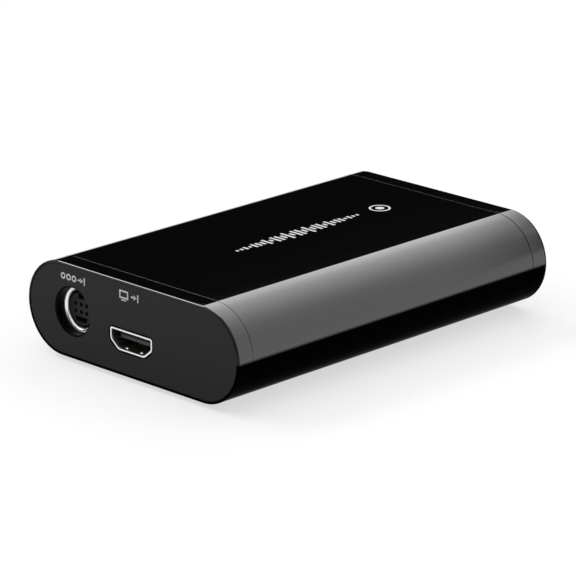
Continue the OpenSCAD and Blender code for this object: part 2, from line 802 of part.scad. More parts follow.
// Metal ring around the round socket: a flange in front of the housing and a tube inside it.
module av_in_shield() {
    tube_r = av_bore_r + av_tube_t;
    color("#c8c8cc") at_av() turned_y() polygon([
        [av_bore_r, 0], [av_flange_r, 0], [av_flange_r, av_flange_t],
        [tube_r, av_flange_t], [tube_r, av_end], [av_bore_r, av_end]
    ]);
}

// Insulating core with the contact holes, the key slot and the wide slot, on a base that fits the tube.
// It is hollow behind the contact holes, where the tails come out.
module av_in_core() {
    base_y = av_end - av_base_l;
    base_r = av_bore_r - av_gap;
    edge = av_pin_hole_r + av_pocket_edge;
    pocket_x = av_column_x(av_columns - 1) + edge;
    pocket_z = av_row_z(av_rows - 1) - edge;
    color("#161618") at_av() difference() {
        turned_y() polygon([
            [0, av_core_back], [av_core_r, av_core_back], [av_core_r, base_y],
            [base_r, base_y], [base_r, av_end], [0, av_end]
        ]);
        for (i = [0 : av_columns - 1], j = [0 : av_rows - 1])
            translate([av_column_x(i), 0, av_row_z(j)]) rotate([-90, 0, 0])
                cylinder(r = av_pin_hole_r, h = av_end + over);
        translate([-pocket_x, av_pocket_y, pocket_z])
            cube([2 * pocket_x, av_end, av_row_top + edge - pocket_z]);
        translate([-av_key_w / 2, 0, av_key_z]) cube([av_key_w, av_core_back + av_key_l, av_core_r]);
        intersection() {
            translate([-av_slot_w / 2, 0, -av_slot_drop - av_slot_h])
                cube([av_slot_w, av_core_back + av_key_l, av_slot_h]);
            rotate([-90, 0, 0]) cylinder(r = av_core_r - av_slot_wall, h = av_end);
        }
    }
}

// One contact of the round socket: a sleeve in front, and a tail bent down into the board at the rear.
module av_contact(tail_y, drop) {
    sleeve_y = av_core_back + av_sleeve_back;
    plug_y = sleeve_y + av_sleeve_l;
    turned_y() polygon([
        [av_sleeve_bore_r, sleeve_y], [av_sleeve_r, sleeve_y], [av_sleeve_r, plug_y + av_sleeve_r],
        [0, plug_y + av_sleeve_r], [0, plug_y], [av_sleeve_bore_r, plug_y]
    ]);
    translate([0, plug_y, 0]) rotate([-90, 0, 0]) cylinder(r = av_tail_r, h = tail_y - plug_y);
    translate([0, tail_y, 0]) sphere(r = av_tail_r);
    translate([0, tail_y, -drop]) cylinder(r = av_tail_r, h = drop);
}

module av_in_contacts() {
    color("#d0a848") at_av() for (i = [0 : av_columns - 1], j = [0 : av_rows - 1])
        translate([av_column_x(i), 0, av_row_z(j)])
            av_contact(av_tail_y(j), av_row_z(j) + av_axis_h + board_t + pin_stub);
}

// Board with its screw holes, and the holes for the sockets' legs and tails.
module main_board() {
    half_l = board_l / 2;
    outline = [[-board_half, -half_l], [board_half, -half_l], [board_half, half_l], [-board_half, half_l]];
    hole_h = board_t + 2 * over;
    color("#1f5a36") difference() {
        translate([0, 0, board_z]) linear_extrude(height = board_t) polygon(rounded(outline, board_corner));
        at_corners(post_x, post_y) translate([0, 0, board_z - over])
            cylinder(r = screw_r + screw_gap, h = hole_h);
        on_both_sides(board_screw_x) translate([0, 0, board_z - over])
            cylinder(r = board_screw_r + screw_gap, h = hole_h);
        at_front(0, video_z) socket_legs(video_w / 2, video_shell_t, video_l, video_mid, pin_gap);
        at_rear(0, video_z) socket_legs(video_w / 2, video_shell_t, video_l, video_mid, pin_gap);
        at_rear(data_x, data_z) socket_legs(data_w / 2, data_shell_t, data_l, data_mid, pin_gap);
        at_av() for (i = [0 : av_columns - 1], j = [0 : av_rows - 1])
            translate([av_column_x(i), av_tail_y(j), -av_axis_h - board_t - over])
                cylinder(r = av_tail_r + pin_gap, h = hole_h);
    }
}

// Video encoder in a flat square package.
module encoder_chip() {
    color("#26262a") block([encoder_side, encoder_side, encoder_h], board_top);
}

// Soft pad that carries heat from the encoder to the heat sink.
module thermal_pad() {
    color("#8f99a6") block([pad_side, pad_side, pad_t], board_top + encoder_h);
}

// Finned aluminium block on the encoder.
module heat_sink() {
    base_z = board_top + encoder_h + pad_t;
    fin_step = (sink_side - sink_fin_t) / (sink_fins - 1);
    color("#9a9ca0") {
        block([sink_side, sink_side, sink_base], base_z);
        for (i = [0 : sink_fins - 1]) translate([-sink_side / 2 + sink_fin_t / 2 + i * fin_step, 0, 0])
            block([sink_fin_t, sink_side, sink_base + sink_fin_h], base_z);
    }
}

// Two memory chips, one on either side of the encoder.
module memory_chips() {
    color("#222226") on_both_sides(memory_x) block([memory_w, memory_l, memory_h], board_top);
}

// Leads along the +X side of a package, each stepped down to the board.
module lead_row(half, width) {
    count = floor((width - lead_w) / lead_pitch);
    lead_z = board_top + package_lift + package_h / 2;
    for (i = [0 : count - 1]) translate([half, (i - (count - 1) / 2) * lead_pitch, 0]) {
        translate([-lead_reach / 2, -lead_w / 2, lead_z]) cube([lead_reach + lead_t / 2, lead_w, lead_t]);
        translate([lead_reach / 2 - lead_t / 2, -lead_w / 2, board_top])
            cube([lead_t, lead_w, lead_z + lead_t - board_top]);
        translate([lead_reach / 2 - lead_t / 2, -lead_w / 2, board_top])
            cube([lead_reach / 2 + lead_t / 2, lead_w, lead_t]);
    }
}

// Package with leads along the sides that face the given directions, in degrees from +X.
module leaded_package(length, width, faces) {
    block([length, width, package_h], board_top + package_lift);
    for (face = faces) rotate([0, 0, face])
        lead_row((face % 180 == 0 ? length : width) / 2, face % 180 == 0 ? width : length);
}

// Package that receives the digital picture from the input socket.
module video_receiver_chip() {
    color("#26262a") translate([0, -link_y, 0]) leaded_package(link_side, link_side, [0, 90, 180, 270]);
}

// Package that sends the digital picture on to the output socket.
module video_transmitter_chip() {
    color("#26262a") translate([0, link_y, 0]) leaded_package(link_side, link_side, [0, 90, 180, 270]);
}

// Package that turns the analogue picture and sound into digital form.
module analog_decoder_chip() {
    color("#26262a") translate([av_x, -analog_y, 0])
        leaded_package(analog_side, analog_side, [0, 90, 180, 270]);
}

// Small chip that keeps the programme.
module flash_chip() {
    color("#26262a") translate([post_x, flash_y, 0]) leaded_package(flash_w, flash_l, [0, 180]);
}

// Round capacitors, two beside the input sockets and two beside the output sockets.
module electrolytic_capacitors() {
    color("#b4b6ba") twice_round() for (i = [0, 1])
        translate([can_x + i * (2 * can_r + part_gap), -can_y, board_top]) {
            cylinder(r = can_r, h = can_h);
            block([2 * can_r, 2 * can_r, can_base], 0);
        }
}

// Quartz crystals in flat cans with round ends, beside the two video packages.
module crystals() {
    color("#c2c4c8") twice_round() translate([crystal_x, -link_y, board_top]) {
        run = crystal_l - crystal_w;
        for (step = [[0, crystal_h], [crystal_foot / 2, crystal_foot]]) {
            block([crystal_w + 2 * step[0], run, step[1]], 0);
            for (end = [-1, 1]) translate([0, end * run / 2, 0])
                cylinder(r = crystal_w / 2 + step[0], h = step[1]);
        }
    }
}

// Shielded coils of the power supply, in square blocks with cut corners.
module power_inductors() {
    half = inductor_side / 2;
    flat = half - inductor_cut;
    color("#3c3c40") for (i = [0, 1])
        translate([post_x, -post_clear_y + half + i * (inductor_side + part_gap), board_top])
            linear_extrude(height = inductor_h) polygon([
                [-flat, -half], [flat, -half], [half, -flat], [half, flat],
                [flat, half], [-flat, half], [-half, flat], [-half, -flat]
            ]);
}

// Rows of small capacitors at the front and rear of the encoder.
module chip_capacitors() {
    row_y = encoder_side / 2 + part_gap / 2;
    color("#a08868") twice_round() for (i = [0 : chip_caps - 1])
        translate([(i - (chip_caps - 1) / 2) * encoder_side / chip_caps, -row_y, 0])
            block([chip_cap_w, chip_cap_l, chip_cap_w], board_top);
}

// Rows of small resistors between the video sockets and their packages.
module chip_resistors() {
    row_y = mouth_y - video_l - tails_l - part_gap / 2;
    color("#2a2a2e") twice_round() for (i = [0 : chip_resistors_each - 1])
        translate([(i - (chip_resistors_each - 1) / 2) * link_side / chip_resistors_each, -row_y, 0])
            block([chip_res_w, chip_res_l, chip_res_h], board_top);
}

top_shell();
bottom_shell();
front_bezel();
rear_bezel();
front_port_plate();
rear_port_plate();
rubber_feet();
case_screws();
board_screws();
main_board();
video_in_shell();
video_in_insulator();
video_in_contacts();
video_out_shell();
video_out_insulator();
video_out_contacts();
av_in_housing();
av_in_shield();
av_in_core();
av_in_contacts();
data_shell();
data_insulator();
data_contacts();
encoder_chip();
thermal_pad();
heat_sink();
memory_chips();
video_receiver_chip();
video_transmitter_chip();
analog_decoder_chip();
flash_chip();
electrolytic_capacitors();
crystals();
power_inductors();
chip_capacitors();
chip_resistors();
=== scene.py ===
import math

import bmesh
import bpy
from mathutils import Matrix


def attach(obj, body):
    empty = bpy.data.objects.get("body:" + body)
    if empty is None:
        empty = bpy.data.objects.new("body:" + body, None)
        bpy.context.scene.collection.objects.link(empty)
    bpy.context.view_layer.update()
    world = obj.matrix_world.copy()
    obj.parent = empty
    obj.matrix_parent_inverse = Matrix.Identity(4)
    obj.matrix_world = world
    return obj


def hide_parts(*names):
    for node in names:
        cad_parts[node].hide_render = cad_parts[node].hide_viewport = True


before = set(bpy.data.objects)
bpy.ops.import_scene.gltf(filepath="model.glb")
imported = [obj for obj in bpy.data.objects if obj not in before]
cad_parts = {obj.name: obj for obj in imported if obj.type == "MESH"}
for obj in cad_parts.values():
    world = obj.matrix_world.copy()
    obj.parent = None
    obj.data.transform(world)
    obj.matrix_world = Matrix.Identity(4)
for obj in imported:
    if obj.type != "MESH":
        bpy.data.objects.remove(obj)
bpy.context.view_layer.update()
scene = bpy.context.scene


# ---------------------------------------------------------------- camera
# A long lens on a stand, looking down on the input end and the right side of the box.
# The whole box stays sharp.
azimuth = math.radians(44.671)
elevation = math.radians(17.977)
roll = math.radians(-0.113)
bpy.ops.object.camera_add(location=(0.582037, -0.590004, 0.280463))
camera = bpy.context.object
camera.name = "camera"
camera.data.sensor_width = 36.0
camera.data.lens = 213.514
camera.data.clip_start = 0.05
camera.data.clip_end = 20.0
camera.rotation_euler = (
    Matrix.Rotation(azimuth, 3, "Z")
    @ Matrix.Rotation(math.pi / 2 - elevation, 3, "X")
    @ Matrix.Rotation(roll, 3, "Z")
).to_euler()
scene.camera = camera
scene.view_settings.view_transform = "Standard"


# ---------------------------------------------------------------- studio light
# A wide soft box overhead, a bright strip in front on the left, a small soft box by the camera, and
# behind the box a lit arch from the right horizon over the top. The rest of the room is dark, so a
# flat gloss top stays black; the camera itself sees the room as white.
def node(tree, kind, inputs=None, **settings):
    """Adds a shader node with its settings, and fills or links its inputs."""
    made = tree.nodes.new(kind)
    for name, value in settings.items():
        setattr(made, name, value)
    for name, value in (inputs or {}).items():
        if isinstance(value, bpy.types.NodeSocket):
            tree.links.new(value, made.inputs[name])
        else:
            made.inputs[name].default_value = value
    return made


def calc(tree, operation, *values):
    """Adds a step of arithmetic, and gives its result."""
    return node(tree, "ShaderNodeMath", dict(enumerate(values)), operation=operation).outputs[0]


def ease(tree, value, start, end, low=0.0, high=1.0):
    """Goes smoothly from low to high while a value goes from start to end."""
    made = node(tree, "ShaderNodeMapRange", {
        "Value": value, "From Min": start, "From Max": end, "To Min": low, "To Max": high,
    }, interpolation_type="SMOOTHSTEP")
    return made.outputs["Result"]


def ramp(tree, factor, stops):
    """Grey ramp through (place, level) stops."""
    made = node(tree, "ShaderNodeValToRGB", {"Fac": factor})
    elements = made.color_ramp.elements
    elements[0].position = stops[0][0]
    elements[1].position = stops[-1][0]
    for place, _ in stops[1:-1]:
        elements.new(place)
    for element, (_, level) in zip(elements, stops):
        element.color = (level, level, level, 1.0)
    return made.outputs["Color"]


room_level = 0.006
overhead_level = 1.0
strip_level = 7.0
fill_level = 1.2
arch_peak = 2.6
arch_levels = [  # degrees round the case's length from the right horizon, and the arch's light there
    (0, 1.00), (35, 1.05), (55, 1.18), (75, 1.56), (95, 1.98), (115, 2.20), (134, 2.45),
    (142, 2.36), (148, 2.20), (153.8, 2.20), (155.1, room_level), (180, room_level),
]
# Where each light begins and where it is full, along the x, y or z of a direction.
overhead_z = (0.42, 0.62)
arch_near_y = (0.44, 0.56)
arch_far_y = (0.755, 0.709)
arch_low_x, arch_low_z = (0.30, 0.50), (0.50, 0.00)  # low on the right it runs past its far edge
strip_x = -0.70
strip_off_x, strip_y, strip_z = (0.09, 0.05), (0.30, 0.15), (0.40, 0.50)
fill_x, fill_y = (0.48, 0.60), (-0.52, -0.62)

world = bpy.data.worlds.new("studio")
world.use_nodes = True
scene.world = world
tree = world.node_tree
toward = node(tree, "ShaderNodeTexCoord").outputs["Generated"]
axes = node(tree, "ShaderNodeSeparateXYZ", {"Vector": toward}).outputs
around = calc(tree, "DIVIDE", calc(tree, "ARCTAN2", axes["Z"], axes["X"]), math.pi)
arch = ramp(tree, around, [(degrees / 180, level / arch_peak) for degrees, level in arch_levels])
low_z = ease(tree, axes["Z"], *arch_low_z)
low_right = calc(tree, "MULTIPLY", low_z, ease(tree, axes["X"], *arch_low_x))
far_edge = calc(tree, "MAXIMUM", ease(tree, axes["Y"], *arch_far_y), low_right)
reach = calc(tree, "MULTIPLY", ease(tree, axes["Y"], *arch_near_y), far_edge)
arch = calc(tree, "MULTIPLY", calc(tree, "MULTIPLY", arch, arch_peak), reach)
overhead = ease(tree, axes["Z"], *overhead_z, room_level, overhead_level)
off_strip = calc(tree, "ABSOLUTE", calc(tree, "SUBTRACT", axes["X"], strip_x))
strip_rise = ease(tree, axes["Z"], *strip_z, 0.0, strip_level)
strip = calc(tree, "MULTIPLY", ease(tree, off_strip, *strip_off_x), strip_rise)
strip = calc(tree, "MULTIPLY", strip, ease(tree, axes["Y"], *strip_y))
fill_front = ease(tree, axes["Y"], *fill_y, 0.0, fill_level)
fill = calc(tree, "MULTIPLY", ease(tree, axes["X"], *fill_x), fill_front)
level = calc(tree, "MAXIMUM", arch, overhead)
level = calc(tree, "MAXIMUM", level, calc(tree, "MAXIMUM", strip, fill))
direct = node(tree, "ShaderNodeLightPath").outputs["Is Camera Ray"]
level = calc(tree, "MULTIPLY", level, calc(tree, "SUBTRACT", 1.0, direct))
level = calc(tree, "ADD", level, direct)
background = tree.nodes["Background"]
background.inputs["Color"].default_value = (1.0, 1.0, 1.0, 1.0)
tree.links.new(level, background.inputs["Strength"])


# ---------------------------------------------------------------- floor
# A wide level sheet of white paper. It glows to the camera and in mirrors alone, so the ground is
# white and the box still throws a soft shadow.
floor_r = 4.0
paper_tone = 0.36
paper_glow = 0.635

bpy.ops.mesh.primitive_circle_add(vertices=160, radius=floor_r, fill_type="NGON")
floor = bpy.context.object
floor.name = "paper_floor"

paper = bpy.data.materials.new("white_paper")
paper.use_nodes = True
tree = paper.node_tree
shader = tree.nodes["Principled BSDF"]
shader.inputs["Base Color"].default_value = (paper_tone, paper_tone, paper_tone, 1.0)
shader.inputs["Roughness"].default_value = 0.9
shader.inputs["Specular IOR Level"].default_value = 0.0
shader.inputs["Emission Color"].default_value = (1.0, 1.0, 1.0, 1.0)
rays = node(tree, "ShaderNodeLightPath").outputs
seen = calc(tree, "MAXIMUM", rays["Is Camera Ray"], rays["Is Glossy Ray"])
seen = calc(tree, "MAXIMUM", seen, rays["Is Transmission Ray"])
tree.links.new(calc(tree, "MULTIPLY", seen, paper_glow), shader.inputs["Emission Strength"])
floor.data.materials.append(paper)


# ---------------------------------------------------------------- lower case
# Lower half of the case: black plastic moulded 2 mm thick and polished, with bosses for the four long
# screws, standoffs for the board, round recesses for the feet and a rebate for the upper half's lip.
# Pieces are drawn in millimetres and brought to metres when they are seated.
MM = 0.001
TINY = 0.01
FACING = 0.9  # a normal this far along an axis faces that way
BEYOND = 1.0  # how far a cutting tool stands out of what it cuts
body_w, body_l, body_h = 75.0, 112.0, 24.6
body_z = 1.2
wall = 2.0
side_r = 12.3
arc_steps = 180
skin_slack = 0.06
seam_y = 50.8
seam_ease = 0.15
rear_seam_ease = 0.28
lap_h = 1.2
fit_gap = 0.1
side_x = body_w / 2 - side_r
mid_z = body_z + body_h / 2
top_z = body_z + body_h
floor_z = body_z + wall
roof_z = top_z - wall
board_under = 6.0


def pick(test, kind="FACE"):
    """Selects the vertices, edges or faces of the mesh in edit mode that pass a test."""
    bpy.ops.mesh.select_mode(type=kind)
    bpy.ops.mesh.select_all(action="DESELECT")
    data = bpy.context.edit_object.data
    mesh = bmesh.from_edit_mesh(data)
    for part in {"VERT": mesh.verts, "EDGE": mesh.edges, "FACE": mesh.faces}[kind]:
        if test(part):
            part.select_set(True)
    mesh.select_flush_mode()
    bmesh.update_edit_mesh(data)


def pick_all():
    """Selects the whole mesh in edit mode."""
    bpy.ops.mesh.select_all(action="SELECT")


def activate(piece):
    """Selects one piece alone and makes it active."""
    bpy.ops.object.select_all(action="DESELECT")
    piece.select_set(True)
    bpy.context.view_layer.objects.active = piece


def settle():
    """Takes the place, turn and size of the active piece into its mesh."""
    bpy.ops.object.transform_apply(location=True, rotation=True, scale=True)


def edit(piece):
    """Opens a piece in edit mode."""
    activate(piece)
    bpy.ops.object.mode_set(mode="EDIT")


def face_out():
    """Turns all faces of the mesh in edit mode outward."""
    pick_all()
    bpy.ops.mesh.normals_make_consistent(inside=False)


def close():
    """Turns all faces outward and leaves edit mode."""
    face_out()
    bpy.ops.object.mode_set(mode="OBJECT")


def push(x=0.0, y=0.0, z=0.0):
    """Extrudes the selected faces."""
    bpy.ops.mesh.extrude_region_move(TRANSFORM_OT_translate={"value": (x, y, z)})


def bevel(offset, segments):
    """Rounds the selected edges."""
    bpy.ops.mesh.bevel(offset=offset, segments=segments, affect="EDGES", clamp_overlap=True)


def open_up(inset):
    """Insets the selected faces and takes out what lies inside."""
    bpy.ops.mesh.inset(thickness=inset)
    bpy.ops.mesh.delete(type="FACE")


def bridge():
    """Joins two open edges by a wall."""
    pick(lambda e: e.is_boundary, "EDGE")
    bpy.ops.mesh.bridge_edge_loops()


def bore_through(front, back):
    """Opens a bar from end to end, leaving rims of the two widths."""
    pick(lambda f: f.normal.y < -FACING)
    open_up(front)
    pick(lambda f: f.normal.y > FACING)
    open_up(back)
    bridge()
    face_out()


def at_y(part, y):
    """Whether an edge or face lies across the case at one place of its length."""
    return all(abs(v.co.y - y) < TINY for v in part.verts)


def at_z(part, z):
    """Whether an edge or face lies level at one height."""
    return all(abs(v.co.z - z) < TINY for v in part.verts)


def sharp(edge):
    """Whether two faces meet at a sharp edge."""
    return edge.is_manifold and edge.calc_face_angle() > 1


def skin_depth(point):
    """How far a point lies under the case's outer skin."""
    across = max(abs(point.x) - side_x, 0.0)
    height = abs(point.z - mid_z)
    return min(side_r - math.hypot(across, height), body_h / 2 - height)


def on_skin(edge, depth=0.0):
    """Whether an edge lies at a depth under the outer skin."""
    return all(abs(skin_depth(v.co) - depth) < skin_slack for v in edge.verts)


def case_bar(name, y0, y1, inset=0.0):
    """Bar with the case's section, set in evenly: a rod whose two halves are pulled apart."""
    half_step = math.pi / arc_steps
    bpy.ops.mesh.primitive_cylinder_add(
        vertices=arc_steps, radius=(side_r - inset) / math.cos(half_step), depth=y1 - y0,
        location=(0, (y0 + y1) / 2, mid_z), rotation=(math.pi / 2, half_step, 0),
    )
    bar = bpy.context.object
    bar.name = name
    settle()
    edit(bar)
    for side in (1, -1):
        pick(lambda v: v.co.x * side > 0, "VERT")
        bpy.ops.transform.translate(value=(side * side_x, 0, 0))
    close()
    return bar


def half_case(name, cut_off):
    """Hollow case in edit mode, cut off above (1) or below (-1) the parting line."""
    half = case_bar(name, -seam_y, seam_y)
    edit(half)
    bore_through(wall, wall)
    pick(lambda e: on_skin(e) and at_y(e, seam_y), "EDGE")
    bevel(rear_seam_ease, 2)
    pick_all()
    bpy.ops.mesh.bisect(
        plane_co=(0, 0, mid_z), plane_no=(0, 0, cut_off), use_fill=True, clear_outer=True,
        threshold=TINY / 2,
    )
    return half


def ease_seams():
    """Rounds a half case's outer edges at the input end and the parting line, and leaves edit mode."""
    pick(lambda e: on_skin(e) and (at_y(e, -seam_y) or at_z(e, mid_z)), "EDGE")
    bevel(seam_ease, 2)
    close()


lower_case = half_case("lower_case", 1)
ease_seams()


def turned(name, x, y, profile, steps=48):
    """Turned piece on an upright axis, through (radius, height) pairs from one end to the other."""
    (r, z), *rest = profile
    bpy.ops.mesh.primitive_circle_add(vertices=steps, radius=r, fill_type="NGON", location=(x, y, z))
    piece = bpy.context.object
    piece.name = name
    settle()
    edit(piece)
    pick_all()
    for r_next, z_next in rest:
        push(z=z_next - z)
        grow = r_next / r
        bpy.ops.transform.resize(value=(grow, grow, 1), center_override=(x, y, z_next))
        r, z = r_next, z_next
    close()
    return piece


def rods(name, places, r, low, high, steps=48):
    """Upright rods of one size at several places."""
    return [turned(name, x, y, [(r, low), (r, high)], steps) for x, y in places]


def block(name, low, high, ease_by=0.0):
    """Block between two corners, with rounded edges."""
    middle = [(a + b) / 2 for a, b in zip(low, high)]
    size = [b - a for a, b in zip(low, high)]
    bpy.ops.mesh.primitive_cube_add(size=1, location=middle, scale=size)
    piece = bpy.context.object
    piece.name = name
    settle()
    if ease_by:
        edit(piece)
        pick_all()
        bevel(ease_by, 2)
        close()
    return piece


def join(name, pieces):
    """Makes one piece of several."""
    first, *others = pieces
    activate(first)
    for piece in others:
        piece.select_set(True)
    if others:
        bpy.ops.object.join()
    first.name = name
    return first


def combine(piece, tools, operation):
    """Welds tools to a piece, or cuts them out of it."""
    tool = join("tool", tools)
    activate(piece)
    change = piece.modifiers.new("combine", "BOOLEAN")
    change.operation = operation
    change.solver = "EXACT"
    change.object = tool
    bpy.ops.object.modifier_apply(modifier=change.name)
    bpy.data.objects.remove(tool)


def corners(x, y):
    """The four places that mirror one place about the middle."""
    return [(sx * x, sy * y) for sx in (1, -1) for sy in (1, -1)]


screw_places = corners(20.98, 34.7)
screw_way_r = 1.35
head_way_r = 2.5
head_seat_z = body_z + 2.2
boss_r = 3.3
standoff_places = [(25.05, 0), (-25.05, 0)]
standoff_r = 2.6
standoff_bore_r, standoff_bore_z = 1.05, 2.9
rooted = 1.0  # how deep bosses and posts reach into the wall
foot_places = corners(19.08, 44.8)
foot_seat_r, foot_seat_z = 5.1, body_z + 0.8
snap_y = 48.8
pocket_w, pocket_l, pocket_depth = 12.2, 1.4, 0.5
base_hole_ease = 0.15


def snap_pockets(low, high):
    """Cutting tools for the pockets that take the bezels' snap ridges."""
    half_w, half_l = pocket_w / 2, pocket_l / 2
    return [
        block("snap_pocket", (-half_w, y - half_l, low), (half_w, y + half_l, high))
        for y in (snap_y, -snap_y)
    ]


bosses = rods("boss", screw_places, boss_r, floor_z - rooted, board_under)
bosses += rods("standoff", standoff_places, standoff_r, floor_z - rooted, board_under)
combine(lower_case, bosses, "UNION")
screw_way = [
    (head_way_r, 0), (head_way_r, head_seat_z), (screw_way_r, head_seat_z),
    (screw_way_r, board_under + BEYOND),
]
holes = [turned("screw_way", x, y, screw_way) for x, y in screw_places]
holes += rods("foot_seat", foot_places, foot_seat_r, 0, foot_seat_z, 64)
holes += rods(
    "standoff_bore", standoff_places, standoff_bore_r, standoff_bore_z, board_under + BEYOND
)
holes += snap_pockets(floor_z - pocket_depth, floor_z + BEYOND)
combine(lower_case, holes, "DIFFERENCE")
rebate = case_bar("rebate", -seam_y - BEYOND, seam_y + BEYOND, wall / 2)
edit(rebate)
pick_all()
bpy.ops.mesh.bisect(
    plane_co=(0, 0, mid_z - lap_h - fit_gap), plane_no=(0, 0, -1), use_fill=True, clear_outer=True,
)
close()
combine(lower_case, [rebate], "DIFFERENCE")
edit(lower_case)
pick(lambda e: sharp(e) and at_z(e, body_z), "EDGE")
bevel(base_hole_ease, 2)
close()

# What all the surfaces share: a slow drift of tone and roughness, and a fine grain for the bump.
variation = bpy.data.node_groups.new("surface_variation", "ShaderNodeTree")
for label, kind in (
    ("Color", "NodeSocketColor"), ("Spread", "NodeSocketFloat"),
    ("Roughness", "NodeSocketFloat"), ("Roughness Spread", "NodeSocketFloat"),
    ("Drift Size", "NodeSocketFloat"), ("Grain Size", "NodeSocketFloat"),
):
    variation.interface.new_socket(label, in_out="INPUT", socket_type=kind)
for label, kind in (
    ("Color", "NodeSocketColor"), ("Roughness", "NodeSocketFloat"), ("Height", "NodeSocketFloat"),
):
    variation.interface.new_socket(label, in_out="OUTPUT", socket_type=kind)
given = node(variation, "NodeGroupInput").outputs
place = node(variation, "ShaderNodeTexCoord").outputs["Object"]
drift = node(variation, "ShaderNodeTexNoise", {
    "Vector": place, "Scale": calc(variation, "DIVIDE", 1.0, given["Drift Size"]),
    "Detail": 4.0, "Roughness": 0.6,
}).outputs["Fac"]
grain = node(variation, "ShaderNodeTexNoise", {
    "Vector": place, "Scale": calc(variation, "DIVIDE", 1.0, given["Grain Size"]), "Detail": 2.0,
}).outputs["Fac"]
swing = calc(variation, "MULTIPLY_ADD", drift, 2.0, -1.0)
tone = calc(variation, "MULTIPLY_ADD", swing, given["Spread"], 1.0)
tinted = node(variation, "ShaderNodeVectorMath", {
    0: given["Color"], "Scale": tone,
}, operation="SCALE").outputs[0]
rough = calc(variation, "MULTIPLY_ADD", swing, given["Roughness Spread"], given["Roughness"])
node(variation, "NodeGroupOutput", {"Color": tinted, "Roughness": rough, "Height": grain})


def surface_of(
    name, color, roughness, spread=0.12, rough_spread=0.05, drift=0.02, grain=0.0004, bump=4e-6,
    **sockets,
):
    """Material with the shared variation; the sockets named are set on the shader itself."""
    made = bpy.data.materials.new(name)
    made.use_nodes = True
    tree = made.node_tree
    shader = tree.nodes["Principled BSDF"]
    vary = node(tree, "ShaderNodeGroup", node_tree=variation)
    for label, value in (
        ("Color", (*color, 1.0)), ("Spread", spread), ("Roughness", roughness),
        ("Roughness Spread", rough_spread), ("Drift Size", drift), ("Grain Size", grain),
    ):
        vary.inputs[label].default_value = value
    tree.links.new(vary.outputs["Color"], shader.inputs["Base Color"])
    tree.links.new(vary.outputs["Roughness"], shader.inputs["Roughness"])
    relief = node(tree, "ShaderNodeBump", {
        "Height": vary.outputs["Height"], "Strength": 1.0, "Distance": bump,
    })
    tree.links.new(relief.outputs["Normal"], shader.inputs["Normal"])
    for label, value in sockets.items():
        shader.inputs[label.replace("_", " ")].default_value = value
    return made


def parts_of(material):
    """A material's tree, its shader and the axes of a point on the object."""
    tree = material.node_tree
    place = node(tree, "ShaderNodeTexCoord").outputs["Object"]
    axes = node(tree, "ShaderNodeSeparateXYZ", {"Vector": place}).outputs
    return tree, tree.nodes["Principled BSDF"], axes


def mm(*lengths):
    """Lengths in millimetres, given in metres."""
    return [length * MM for length in lengths]


# Polished black. The lacquer mirrors the room above the parting line; it is thinner on the end rims and
# on the base, and the lower sides have none.
parting_fade = mm(mid_z - 0.30, mid_z + 0.70)
base_fade = mm(body_z + 0.45, body_z + 0.05)
base_lacquer = 0.4
rim_fade = mm(top_z - 2.0, top_z - 0.5)
rim_start = mm(55.4, 55.97)  # how far along the length the end rims begin, at the sides and on top
rim_lacquer = (0.22, 0.40)
case_gloss = surface_of(
    "case_gloss", (0.0013, 0.0013, 0.0014), 0.06, spread=0.15, rough_spread=0.02, drift=0.03,
    grain=0.004, bump=1.5e-7, Specular_IOR_Level=0.001, Coat_IOR=1.8, Coat_Roughness=0.014,
)
tree, shader, axes = parts_of(case_gloss)
lacquer = ease(tree, axes["Z"], *parting_fade)
lacquer = calc(tree, "MAXIMUM", lacquer, ease(tree, axes["Z"], *base_fade, 0.0, base_lacquer))
rim_reach = ease(tree, axes["Z"], *rim_fade, *rim_start)
rim_weight = ease(tree, axes["Z"], *rim_fade, *rim_lacquer)
on_rim = calc(tree, "GREATER_THAN", calc(tree, "ABSOLUTE", axes["Y"]), rim_reach)
lost = calc(tree, "MULTIPLY", on_rim, calc(tree, "SUBTRACT", 1.0, rim_weight))
lacquer = calc(tree, "MULTIPLY", lacquer, calc(tree, "SUBTRACT", 1.0, lost))
tree.links.new(lacquer, shader.inputs["Coat Weight"])


def seat(piece, slot, material, *nodes):
    """Smooths a piece, brings it to metres and puts it in the place of its CAD nodes."""
    activate(piece)
    piece.data.name = piece.name
    bpy.ops.object.shade_smooth_by_angle(angle=math.radians(32))
    even = piece.modifiers.new("even", "WEIGHTED_NORMAL")
    even.keep_sharp = True
    bpy.ops.object.modifier_apply(modifier=even.name)
    piece.matrix_world = Matrix.Scale(MM, 4) @ piece.matrix_world
    settle()
    piece.data.materials.clear()
    piece.data.materials.append(material)
    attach(piece, "root")
    if nodes:
        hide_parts(*nodes)


seat(lower_case, "case_gloss", case_gloss, "bottom_shell")


# ---------------------------------------------------------------- main board and its parts
# Green glass-fibre board on the bosses, with the encoder under a finned cooler, memory, link chips,
# cans, crystals, coils and rows of chip parts, all soldered to its upper face.
weld = 0.0005
flat_angle = math.radians(0.5)
corner_angle = math.radians(35)
sliver = 0.001


def eased_copy(source, name, width, segments=2):
    """Copy of a CAD node: triangles joined up, sharp edges rounded, slivers merged."""
    piece = bpy.data.objects.new(name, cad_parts[source].data.copy())
    scene.collection.objects.link(piece)
    piece.scale = (1 / MM, 1 / MM, 1 / MM)
    activate(piece)
    settle()
    edit(piece)
    bpy.ops.mesh.customdata_custom_splitnormals_clear()
    pick_all()
    bpy.ops.mesh.remove_doubles(threshold=weld)
    bpy.ops.mesh.dissolve_limited(angle_limit=flat_angle)
    pick(lambda e: e.is_manifold and e.calc_face_angle() > corner_angle, "EDGE")
    bevel(width, segments)
    pick_all()
    bpy.ops.mesh.remove_doubles(threshold=sliver)
    bpy.ops.mesh.dissolve_degenerate(threshold=weld)
    close()
    return piece


